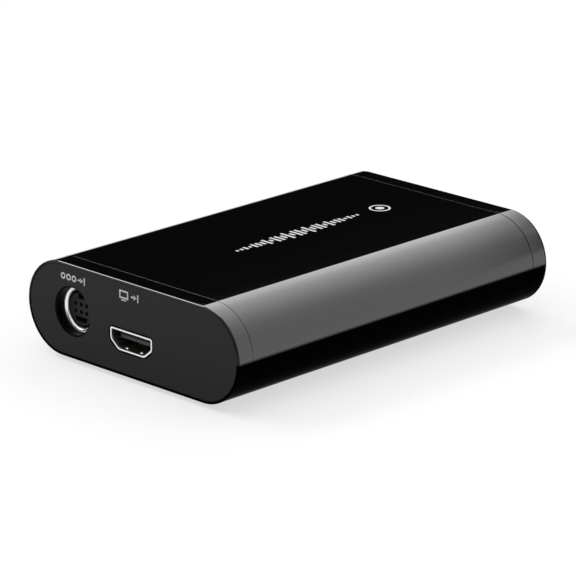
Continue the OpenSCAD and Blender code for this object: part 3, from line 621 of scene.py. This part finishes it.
def dress(source, name, width, slot, material, segments=2):
    """Puts an eased copy of a CAD node in the node's place."""
    seat(eased_copy(source, name, width, segments), slot, material, source)


def blend(tree, factor, first, second, kind="RGBA"):
    """Goes from one colour to another, or with kind FLOAT from one number to another."""
    a, b, result = (6, 7, 2) if kind == "RGBA" else (2, 3, 0)
    inputs = {"Factor": factor, a: first, b: second}
    return node(tree, "ShaderNodeMix", inputs, data_type=kind).outputs[result]


def feeding(shader, label):
    """What is linked to a shader's socket so far."""
    return shader.inputs[label].links[0].from_socket


solder_mask = surface_of(
    "solder_mask", (0.003, 0.026, 0.011), 0.38, spread=0.2, drift=0.01, grain=0.0003, bump=3e-6,
)
over_copper = (0.006, 0.050, 0.020, 1.0)
tinned_copper = (0.42, 0.36, 0.20, 1.0)
tree = solder_mask.node_tree
shader = tree.nodes["Principled BSDF"]
place = node(tree, "ShaderNodeTexCoord").outputs["Object"]
tracks = node(tree, "ShaderNodeTexVoronoi", {"Vector": place, "Scale": 420.0}, distance="MANHATTAN")
track_edge = ease(tree, tracks.outputs["Distance"], 0.42, 0.46)
vias = node(tree, "ShaderNodeTexVoronoi", {"Vector": place, "Scale": 260.0, "Randomness": 0.7})
via_dot = ease(tree, vias.outputs["Distance"], 0.14, 0.12)
mask = blend(tree, track_edge, feeding(shader, "Base Color"), over_copper)
tree.links.new(blend(tree, via_dot, mask, tinned_copper), shader.inputs["Base Color"])
dress("main_board", "circuit_board", 0.12, "board_laminate", solder_mask)

chip_black = surface_of(
    "chip_black", (0.012, 0.012, 0.013), 0.55, spread=0.25, grain=0.00012, bump=6e-6,
)
for chip in (
    "encoder_chip", "memory_chips", "video_receiver_chip", "video_transmitter_chip",
    "analog_decoder_chip", "flash_chip",
):
    dress(chip, chip + "_body", 0.05, "chip_package", chip_black)
pad_grey = surface_of(
    "pad_silicone", (0.28, 0.33, 0.38), 0.8, spread=0.15, grain=0.0006, bump=2e-5,
)
dress("thermal_pad", "gap_pad", 0.1, "pad_silicone", pad_grey)
sink_metal = surface_of(
    "sink_anodised", (0.40, 0.40, 0.41), 0.42, spread=0.08, grain=0.0002, bump=6e-6, Metallic=1.0,
)
dress("heat_sink", "finned_sink", 0.12, "sink_aluminium", sink_metal)
can_metal = surface_of(
    "can_sleeve", (0.62, 0.62, 0.64), 0.3, spread=0.1, grain=0.0003, Metallic=1.0,
)
dress("electrolytic_capacitors", "can_capacitors", 0.15, "can_aluminium", can_metal, 3)
crystal_metal = surface_of(
    "crystal_can", (0.66, 0.65, 0.62), 0.24, spread=0.08, grain=0.0003, Metallic=1.0,
)
dress("crystals", "crystal_cans", 0.15, "socket_steel", crystal_metal, 3)
ferrite = surface_of(
    "coil_ferrite", (0.035, 0.034, 0.034), 0.75, spread=0.3, grain=0.00015, bump=1.5e-5,
)
dress("power_inductors", "coil_blocks", 0.12, "coil_ferrite", ferrite)
ceramic = surface_of(
    "chip_ceramic", (0.36, 0.25, 0.15), 0.5, spread=0.15, drift=0.001, grain=0.0001,
)
dress("chip_capacitors", "ceramic_chips", 0.05, "chip_ceramic", ceramic)
dress("chip_resistors", "resistor_chips", 0.04, "chip_ceramic", chip_black)


# ---------------------------------------------------------------- video and data sockets
# Stamped and nickel-plated steel shells with legs through the board and two spring leaves on the floor,
# round a black insulator whose tongue carries gold-plated contacts.
mouth_y = 55.8
board_top = 7.6
port_corner = 0.35
lip_t, lip_l = 0.48, 0.5
leaf_w, leaf_l, leaf_t = 0.8, 1.8, 0.2
leaf_rise, leaf_back = 0.32, 1.0
leg_in, leg_l, leg_drop, leg_ease = 3.6, 1.6, 0.8, 0.08
video_size = (14.0, 4.55, 2.5, 9.0)  # width, height, height of the upright sides, width of the base
video_make = (video_size, 0.45, 12.0, 2.6)  # opening, thickness, length, how far out the leaves are
video_z = 10.325
data_size = (6.9, 3.1, 1.5, 5.4)
data_make = (data_size, 0.35, 9.0, 1.5)
data_x, data_z = 20.0, 9.5
half_turn = (0, 0, math.pi)


def put(piece, place, turn=(0, 0, 0)):
    """Turns a finished piece about the origin and sets it in place."""
    activate(piece)
    piece.rotation_euler = turn
    piece.location = place
    settle()
    return piece


def port_block(name, size, grow, corner, length, place):
    """Block with a socket's outline, grown evenly: upright sides above, a narrower base below."""
    w, h, side, base = size
    lean = math.atan2((w - base) / 2, h - side)
    side += grow + grow * math.tan(lean / 2)
    base += 2 * grow * math.tan(math.pi / 4 - lean / 2)
    w += 2 * grow
    h += 2 * grow
    piece = block(name, (-w / 2, 0, -h / 2), (w / 2, length, h / 2))
    edit(piece)
    pick_all()
    bpy.ops.mesh.bisect(plane_co=(0, 0, h / 2 - side), plane_no=(0, 0, 1))
    pick(lambda v: v.co.z < TINY - h / 2, "VERT")
    bpy.ops.transform.resize(value=(base / w, 1, 1), center_override=(0, 0, 0))
    pick(lambda e: abs(e.verts[0].co.y - e.verts[1].co.y) > TINY, "EDGE")
    bevel(corner + grow, 4)
    pick(lambda f: abs(f.normal.y) > FACING)
    bpy.ops.mesh.dissolve_faces()
    close()
    return put(piece, place)


def spring_leaf(x, floor, t):
    """Bowed strip that rises from a shell's floor: the top of a wide ring, made thick."""
    bow_r = leaf_l ** 2 / (8 * leaf_rise) + leaf_rise / 2
    bpy.ops.mesh.primitive_cylinder_add(
        vertices=120, radius=bow_r, depth=leaf_w, end_fill_type="NOTHING",
        rotation=(0, math.pi / 2, 0), location=(x, leaf_back + leaf_l / 2, leaf_rise + floor - bow_r),
    )
    leaf = bpy.context.object
    settle()
    edit(leaf)
    pick_all()
    bpy.ops.mesh.bisect(plane_co=(0, 0, floor - t / 4), plane_no=(0, 0, -1), clear_outer=True)
    close()
    thick = leaf.modifiers.new("thick", "SOLIDIFY")
    thick.thickness = leaf_t
    thick.offset = -1
    bpy.ops.object.modifier_apply(modifier=thick.name)
    return leaf


def socket_shell(name, size, t, length, leaf_x, z):
    """Stamped shell that opens to the front at y 0, drawn about its middle height."""
    w, h = size[:2]
    shell = port_block(name, size, t, port_corner, length - lip_l / 2, (0, lip_l / 2, 0))
    edit(shell)
    bore_through(t, t)
    close()
    lip = port_block("lip", size, lip_t, port_corner / 2, lip_l, (0, 0, 0))
    edit(lip)
    bore_through(lip_t, lip_t)
    pick(lambda e: at_y(e, 0) and sharp(e), "EDGE")
    bevel(lip_t / 6, 2)
    close()
    parts = [shell, lip] + [spring_leaf(x, -h / 2, t) for x in (leaf_x, -leaf_x)]
    leg_end = board_under - leg_drop - z
    for y in (leg_in, length - leg_in):
        for x in (w / 2 + t / 2, -w / 2 - t / 2):
            low, high = (x - t / 2, y - leg_l / 2, leg_end), (x + t / 2, y + leg_l / 2, 0)
            parts.append(block("leg", low, high, leg_ease))
    return join(name, parts)


nickel = surface_of(
    "nickel_steel", (0.82, 0.815, 0.80), 0.24, spread=0.06, rough_spread=0.06, drift=0.003,
    grain=0.0002, bump=1.2e-6, Metallic=1.0,
)
for name, replaced, make, place, turn in (
    ("video_in_steel", "video_in_shell", video_make, (0, -mouth_y, video_z), (0, 0, 0)),
    ("video_out_steel", "video_out_shell", video_make, (0, mouth_y, video_z), half_turn),
    ("data_steel", "data_shell", data_make, (data_x, mouth_y, data_z), half_turn),
):
    shell = socket_shell(name, *make, place[2])
    seat(put(shell, place, turn), "socket_steel", nickel, replaced)

# The tongues' tips slope above and below, and the video ones have a bead across the top of the tip.
tip_l = 0.5
top_slope, under_slope = math.radians(28), math.radians(9)
wedge_w, wedge_l, wedge_h = 16.0, 4.0, 2.0
bead_y, bead_z = (-0.12, 0.08), (-0.3, 0.16)  # about the inner end of the slope
bead_ease = 0.05
gold = surface_of(
    "contact_gold", (0.83, 0.58, 0.21), 0.24, spread=0.08, drift=0.001, grain=0.0001, Metallic=1.0,
)
insulator = surface_of(
    "insulator_black", (0.005, 0.005, 0.0055), 0.32, spread=0.2, grain=0.00015, bump=2e-6,
)
for socket, side, x, z, tip, top, under, bead_w in (
    ("video_in", -1, 0, video_z, 1.8, 1.0, -0.2, 11.0),
    ("video_out", 1, 0, video_z, 1.8, 1.0, -0.2, 11.0),
    ("data", 1, data_x, data_z, 1.2, 0.9, 0.0, 0.0),
):
    tongue = eased_copy(socket + "_insulator", socket + "_tongue", 0.06)
    slope_y = side * (mouth_y - tip - tip_l)
    for up, face, slope in ((1, top, top_slope), (-1, under, under_slope)):
        low, high = (-wedge_w / 2, -wedge_l / 2, 0), (wedge_w / 2, wedge_l / 2, wedge_h)
        lean = math.pi / 2 - up * math.pi / 2 - slope * side * up
        wedge = put(block("wedge", low, high), (x, slope_y, z + face), (lean, 0, 0))
        combine(tongue, [wedge], "DIFFERENCE")
    if bead_w:
        low = (x - bead_w / 2, slope_y + bead_y[0], z + top + bead_z[0])
        high = (x + bead_w / 2, slope_y + bead_y[1], z + top + bead_z[1])
        combine(tongue, [block("bead", low, high, bead_ease)], "UNION")
    seat(tongue, "insulator_black", insulator, socket + "_insulator")
    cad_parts[socket + "_contacts"].material_slots[0].material = gold


# ---------------------------------------------------------------- round audio and video socket
# Turned and plated ring pressed into a black moulded block, round a black core with six pin holes,
# a key notch above and a wide slot below. A thin collar of the block fills the plate's hole.
av_x, av_z = -21.1, 13.55
av_face_y = -53.5
av_steps = 96
flange_r, flange_t, flange_ease = 6.0, 0.6, 0.08
tube_r, ring_l = 5.4, 10.1
mouth_r, mouth_ease = 4.8, 1.0
back_r = 5.0
collar_r, collar_t, collar_l, collar_ease = 6.44, 0.36, 2.9, 0.12
collar_out = 2.1
base_to_front = (-math.pi / 2, 0, 0)

ring = turned("av_ring", 0, 0, [
    (flange_r, 0), (flange_r, flange_t), (tube_r, flange_t), (tube_r, ring_l),
], av_steps)
edit(ring)
pick(lambda f: f.normal.z < -FACING and at_z(f, 0))
open_up(flange_r - mouth_r)
pick(lambda f: f.normal.z > FACING and at_z(f, ring_l))
open_up(tube_r - back_r)
bridge()
pick(lambda e: at_z(e, 0) and all(v.co.xy.length < mouth_r + TINY for v in e.verts), "EDGE")
bevel(mouth_ease, 7)
pick(lambda e: at_z(e, 0) and all(v.co.xy.length > flange_r - TINY for v in e.verts), "EDGE")
bevel(flange_ease, 2)
close()
put(ring, (av_x, av_face_y, av_z), base_to_front)
ring_nickel = surface_of(
    "ring_nickel", (0.94, 0.935, 0.92), 0.32, spread=0.05, rough_spread=0.05, drift=0.003,
    grain=0.0002, bump=1e-6, Metallic=1.0,
)
seat(ring, "socket_steel", ring_nickel, "av_in_shield")

core_black = surface_of(
    "core_black", (0.014, 0.014, 0.014), 0.5, spread=0.2, grain=0.0002, bump=2e-6,
    Specular_IOR_Level=0.24,
)
dress("av_in_core", "av_core", 0.12, "insulator_black", core_black)

collar = turned("collar", 0, 0, [(collar_r, 0), (collar_r, collar_l)], av_steps)
edit(collar)
pick(lambda f: abs(f.normal.z) > FACING)
open_up(collar_t)
bridge()
pick(lambda e: at_z(e, 0) and sharp(e), "EDGE")
bevel(collar_ease, 3)
close()
put(collar, (av_x, av_face_y - collar_out, av_z), base_to_front)
collar_black = surface_of(
    "collar_black", (0.0015, 0.0015, 0.0015), 0.4, spread=0.2, grain=0.0002, bump=2e-6,
    Specular_IOR_Level=0.05,
)
av_block = join("av_block", [eased_copy("av_in_housing", "av_block", 0.2), collar])
seat(av_block, "insulator_black", collar_black, "av_in_housing")
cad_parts["av_in_contacts"].material_slots[0].material = gold


# ---------------------------------------------------------------- upper case
# Upper half of the case: the same polished black, with a lip that drops behind the lower half's wall
# and four posts that the long screws cut their thread into.
lip_x = body_w / 2 - wall / 2 - fit_gap
post_r = 3.0
post_bore_top = 17.5


def on_parting(face):
    """Whether a face closes the upper half at the parting line."""
    return face.normal.z < -FACING and abs(face.calc_center_median().z - mid_z) < TINY


upper_case = half_case("upper_case", -1)
for side in (1, -1):
    pick(on_parting)
    bpy.ops.mesh.bisect(plane_co=(side * lip_x, 0, 0), plane_no=(side, 0, 0))
pick(lambda f: on_parting(f) and abs(f.calc_center_median().x) < lip_x)
push(z=-lap_h)
ease_seams()
posts = rods("post", screw_places, post_r, board_top, roof_z + rooted)
combine(upper_case, posts, "UNION")
holes = rods("post_bore", screw_places, screw_way_r, 0, post_bore_top)
holes += snap_pockets(roof_z - BEYOND, roof_z + pocket_depth)
combine(upper_case, holes, "DIFFERENCE")

# White screen print on the top: a row of level bars along the middle, and a dot in a ring behind them.
bar_count, bar_pitch, bar_share = 30, 1.5, 0.5
bar_start_y = -19.6
bar_least, bar_swell = 0.4, 2.3
wave_step, wave_start = 1.9, 0.7
dot_y, dot_r = 32.8, 1.2
halo_r, halo_half = 2.6, 0.28
print_reach = 0.1
printed = case_gloss.copy()
printed.name = "case_gloss_printed"
tree, shader, axes = parts_of(printed)
along = calc(tree, "MULTIPLY_ADD", axes["Y"], 1 / (MM * bar_pitch), -bar_start_y / bar_pitch)
number = calc(tree, "FLOOR", along)
in_bar = calc(tree, "LESS_THAN", calc(tree, "FRACT", along), bar_share)
in_row = calc(tree, "COMPARE", number, (bar_count - 1) / 2, bar_count / 2)
from_start = calc(tree, "MULTIPLY", calc(tree, "ADD", number, 0.5), math.pi / bar_count)
swell = calc(tree, "SINE", from_start)
wave = calc(tree, "SINE", calc(tree, "MULTIPLY_ADD", number, wave_step, wave_start))
wave = calc(tree, "ABSOLUTE", wave)
bar_half = calc(
    tree, "MULTIPLY_ADD", calc(tree, "MULTIPLY", swell, wave), bar_swell * MM, bar_least * MM
)
in_half = calc(tree, "LESS_THAN", calc(tree, "ABSOLUTE", axes["X"]), bar_half)
bars = calc(tree, "MULTIPLY", calc(tree, "MULTIPLY", in_bar, in_row), in_half)
spot = node(tree, "ShaderNodeCombineXYZ", {
    "X": axes["X"], "Y": calc(tree, "SUBTRACT", axes["Y"], dot_y * MM),
}).outputs[0]
spot_r = node(tree, "ShaderNodeVectorMath", {0: spot}, operation="LENGTH").outputs["Value"]
halo = calc(tree, "COMPARE", spot_r, halo_r * MM, halo_half * MM)
mark = calc(tree, "MAXIMUM", halo, calc(tree, "LESS_THAN", spot_r, dot_r * MM))
on_top = calc(tree, "GREATER_THAN", axes["Z"], (top_z - print_reach) * MM)
ink = calc(tree, "MULTIPLY", calc(tree, "MAXIMUM", bars, mark), on_top)
for label, inked, kind in (
    ("Base Color", (0.78, 0.78, 0.78, 1.0), "RGBA"), ("Roughness", 0.5, "FLOAT"),
    ("Coat Weight", 0.2, "FLOAT"),
):
    result = blend(tree, ink, feeding(shader, label), inked, kind)
    tree.links.new(result, shader.inputs[label])
seat(upper_case, "case_gloss", printed, "top_shell")


# ---------------------------------------------------------------- screws
# Zinc-plated self-tapping screws with flat round heads and a cross recess: four long ones from below
# through the board into the posts, two short ones that hold the board.
case_head_h, board_head_h = 1.7, 1.3
head_front_ease, head_back_ease = 0.3, 0.15
thread_depth = 0.18
thread_form = (0.3, 0.6, 0.95)  # shares of a turn: the groove's floor from and to, the next crest
plain_tip = 1.0
tip_share = 0.4
slot_w, slot_depth = 0.6, 0.9


def screw(x, y, head_r, head_h, shank_r, shank_l, cross, thread):
    """Screw that stands on its head at height 0, its thread upward."""
    profile = [
        (head_r - head_front_ease, 0), (head_r, head_front_ease), (head_r, head_h - head_back_ease),
        (head_r - head_back_ease, head_h), (shank_r, head_h),
    ]
    thread_rs = (shank_r - thread_depth, shank_r - thread_depth, shank_r)
    for i in range(int((shank_l - plain_tip) / thread)):
        z = head_h + i * thread
        profile += [(r, z + thread * share) for r, share in zip(thread_rs, thread_form)]
    profile.append((shank_r * tip_share, head_h + shank_l))
    made = turned("screw", x, y, profile, 36)
    for a, b in ((cross / 2, slot_w / 2), (slot_w / 2, cross / 2)):
        slot = block("cross", (x - a, y - b, -BEYOND), (x + a, y + b, slot_depth))
        combine(made, [slot], "DIFFERENCE")
    return made


screw_zinc = surface_of(
    "screw_zinc", (0.50, 0.50, 0.51), 0.30, spread=0.15, drift=0.002, grain=0.0001, Metallic=1.0,
)
case_screws = join("case_screw_set", [
    screw(x, y, head_r=2.3, head_h=case_head_h, shank_r=1.25, shank_l=14.0, cross=2.6, thread=0.9)
    for x, y in screw_places
])
put(case_screws, (0, 0, head_seat_z - case_head_h))
seat(case_screws, "case_screw", screw_zinc, "case_screws")
board_screws = join("board_screw_set", [
    screw(x, y, head_r=1.9, head_h=board_head_h, shank_r=0.95, shank_l=4.6, cross=2.1, thread=0.6)
    for x, y in standoff_places
])
put(board_screws, (0, 0, board_top + board_head_h), (math.pi, 0, 0))
seat(board_screws, "board_screw", screw_zinc, "board_screws")


# ---------------------------------------------------------------- end bezels
# Polished black rings that close the two ends: a thin lip round the port plate, a shoulder behind it
# and a spigot that snaps into the shells.
end_y = -body_l / 2
bezel_lip = 0.6
lip_ease = 0.08
rim_ease = 0.25
plate_t = 2.0
plate_recess = 0.1
shoulder_y = end_y + plate_t + plate_recess
bore_inset = 3.3
spigot_inset = wall + fit_gap
spigot_l = 4.0
ridge_w, ridge_l, ridge_h, ridge_ease = 12.0, 1.2, 1.4, 0.25
ridge_lows = (2.8, 22.8)
front_bezel_ease, rear_bezel_ease = 0.14, 0.025  # at the seams with the shells

bezel = case_bar("input_bezel", end_y, -seam_y)
edit(bezel)
pick(lambda f: f.normal.y < -FACING)
bpy.ops.mesh.inset(thickness=bezel_lip)
push(y=plate_t + plate_recess)
pick(lambda f: f.normal.y > FACING)
bpy.ops.mesh.inset(thickness=spigot_inset)
push(y=spigot_l)
pick(lambda f: f.normal.y > FACING and at_y(f, spigot_l - seam_y))
open_up(bore_inset - spigot_inset)
pick(lambda f: f.normal.y < -FACING and at_y(f, shoulder_y))
open_up(bore_inset - bezel_lip)
bridge()
face_out()
pick(lambda e: on_skin(e, bezel_lip) and at_y(e, end_y), "EDGE")
bevel(lip_ease, 2)
pick(lambda e: on_skin(e) and at_y(e, end_y), "EDGE")
bevel(rim_ease, 5)
close()
ridges = []
for z in ridge_lows:
    low = (-ridge_w / 2, -snap_y - ridge_l / 2, z)
    high = (ridge_w / 2, -snap_y + ridge_l / 2, z + ridge_h)
    ridges.append(block("ridge", low, high, ridge_ease))
combine(bezel, ridges, "UNION")
other = bezel.copy()
other.data = bezel.data.copy()
other.name = "output_bezel"
scene.collection.objects.link(other)
for piece, ease_by in ((bezel, front_bezel_ease), (other, rear_bezel_ease)):
    edit(piece)
    pick(lambda e: on_skin(e) and at_y(e, -seam_y), "EDGE")
    bevel(ease_by, 2)
    close()
seat(bezel, "case_gloss", case_gloss, "front_bezel")
seat(put(other, (0, 0, 0), half_turn), "case_gloss", case_gloss, "rear_bezel")


# ---------------------------------------------------------------- port plates
# Matte charcoal plates with a fine spark-eroded texture, each set into a bezel and pierced for its
# sockets: video and round socket at the input end, video and data at the output end.
plate_gap = 0.08
plate_y = end_y + plate_recess
plate_ease = 0.12
video_clear, data_clear = 0.92, 0.85
av_hole_r = 6.5
cut_y, cut_l = plate_y - BEYOND, plate_t + 2 * BEYOND
# Painted light: a plate's colour is darkened at its foot and made paler at its top, a painted gradient
# of light falling from above.
painted_light_tones = (0.2, 2.0)  # shares of the colour at the foot and at the top of a plate
charcoal = surface_of(
    "port_plate", (0.0062, 0.0062, 0.0078), 0.52, spread=0.10, rough_spread=0.05, drift=0.012,
    grain=0.00022, bump=1.4e-5, Specular_IOR_Level=0.22,
)
tree, shader, axes = parts_of(charcoal)
# Painted light and shade: the colour is scaled with height, darker at the foot and paler at the top.
painted_light_share = ease(tree, axes["Z"], *mm(body_z, top_z), *painted_light_tones)
painted_light_color = node(tree, "ShaderNodeVectorMath", {
    0: feeding(shader, "Base Color"), "Scale": painted_light_share,
}, operation="SCALE").outputs[0]
tree.links.new(painted_light_color, shader.inputs["Base Color"])
for name, replaced, rear in (
    ("input_plate", "front_port_plate", False), ("output_plate", "rear_port_plate", True),
):
    plate = case_bar(name, plate_y, plate_y + plate_t, bezel_lip + plate_gap)
    tools = [port_block("opening", video_size, video_clear, port_corner, cut_l, (0, cut_y, video_z))]
    if rear:
        place = (-data_x, cut_y, data_z)
        tools.append(port_block("opening", data_size, data_clear, port_corner, cut_l, place))
    else:
        hole = turned("opening", 0, 0, [(av_hole_r, 0), (av_hole_r, cut_l)], av_steps)
        tools.append(put(hole, (av_x, cut_y, av_z), base_to_front))
    combine(plate, tools, "DIFFERENCE")
    edit(plate)
    pick(lambda e: at_y(e, plate_y) and sharp(e), "EDGE")
    bevel(plate_ease, 3)
    close()
    if rear:
        put(plate, (0, 0, 0), half_turn)
    seat(plate, "port_plate", charcoal, replaced)


# ---------------------------------------------------------------- port signs
# White pad print over the sockets: three rings for the round socket, a screen for each video socket and
# two opposite arrows for the data socket. An arrow at a bar goes in, one that leaves a bar goes out.
sign_z = 22.3
ring_sign_x = -21.0
ink_t = 0.03
line_w = 0.42
bar_up = 1.0
ring_r, ring_steps, ring_xs = 0.85, 40, (-3.3, -1.3, 0.7)
shaft_l, head_at, head_r = 1.2, 1.25, 0.75
screen_x, screen_r, screen_stretch = -2.2, 1.5, 1.5
stand_low, stand_high = (-3.1, -1.6, 0), (-1.3, -1.3, ink_t)
data_arrow_x, data_arrow_y = 0.9, 0.7
ink_white = surface_of(
    "ink_white", (0.84, 0.84, 0.84), 0.55, spread=0.08, drift=0.002, grain=0.0001, bump=2e-6,
)


def figure(sides, r, x, y=0.0, turn=0.0):
    """Flat regular figure."""
    bpy.ops.mesh.primitive_circle_add(
        vertices=sides, radius=r, fill_type="NGON", location=(x, y, 0), rotation=(0, 0, turn),
    )
    made = bpy.context.object
    settle()
    edit(made)
    pick_all()
    return made


def thicken():
    """Gives the flat mesh in edit mode the thickness of the ink."""
    pick_all()
    push(z=ink_t)
    close()


def outline(sides, r, x, stretch=1.0, turn=0.0):
    """Flat line round a regular figure, stretched across."""
    made = figure(sides, r, x, turn=turn)
    bpy.ops.transform.resize(value=(stretch, 1, 1), center_override=(x, 0, 0))
    open_up(line_w)
    thicken()
    return made


def upright(x):
    """Flat upright bar."""
    return [block("bar", (x, -bar_up, 0), (x + line_w, bar_up, ink_t))]


def arrow(x, y=0.0, way=1):
    """Flat arrow from a tail to the right, or with way -1 to the left."""
    left, right = sorted((x, x + way * shaft_l))
    shaft = block("shaft", (left, y - line_w / 2, 0), (right, y + line_w / 2, ink_t))
    head = figure(3, head_r, x + way * head_at, y, -way * math.pi / 2)
    thicken()
    return [shaft, head]


def screen():
    """Flat screen on a stand."""
    frame_line = outline(4, screen_r, screen_x, screen_stretch, math.pi / 4)
    return [frame_line, block("stand", stand_low, stand_high)]


rings = [outline(ring_steps, ring_r, x) for x in ring_xs]
ring_sign = join("round_socket_sign", rings + arrow(2.1) + upright(4.3))
screen_in_sign = join("video_socket_sign", screen() + arrow(0.4) + upright(2.6))
screen_out_sign = join("video_out_sign", screen() + upright(0.2) + arrow(0.9))
data_sign = join(
    "data_socket_sign",
    arrow(-data_arrow_x, data_arrow_y) + arrow(data_arrow_x, -data_arrow_y, -1),
)
for sign, x, y, turn in (
    (ring_sign, ring_sign_x, plate_y, 0), (screen_in_sign, 0.0, plate_y, 0),
    (screen_out_sign, 0.0, -plate_y, math.pi), (data_sign, data_x, -plate_y, math.pi),
):
    put(sign, (x, y, sign_z), (math.pi / 2, 0, turn))
    seat(sign, "port_plate", ink_white)


# ---------------------------------------------------------------- feet
# Four pressed rubber discs with a rounded rim, glued into the recesses under the lower case.
# They hold the box off the table and keep it from sliding.
foot_profile = [(4.6, 0), (4.88, 0.12), (5.0, 0.4), (5.0, 1.9), (4.9, 2.0)]  # radius and height
foot_rubber = surface_of(
    "foot_rubber", (0.020, 0.020, 0.020), 0.82, spread=0.25, drift=0.004, grain=0.0003, bump=2.5e-5,
    Specular_IOR_Level=0.2,
)
feet = join("foot_set", [turned("foot", x, y, foot_profile, 64) for x, y in foot_places])
seat(feet, "foot_rubber", foot_rubber, "rubber_feet")
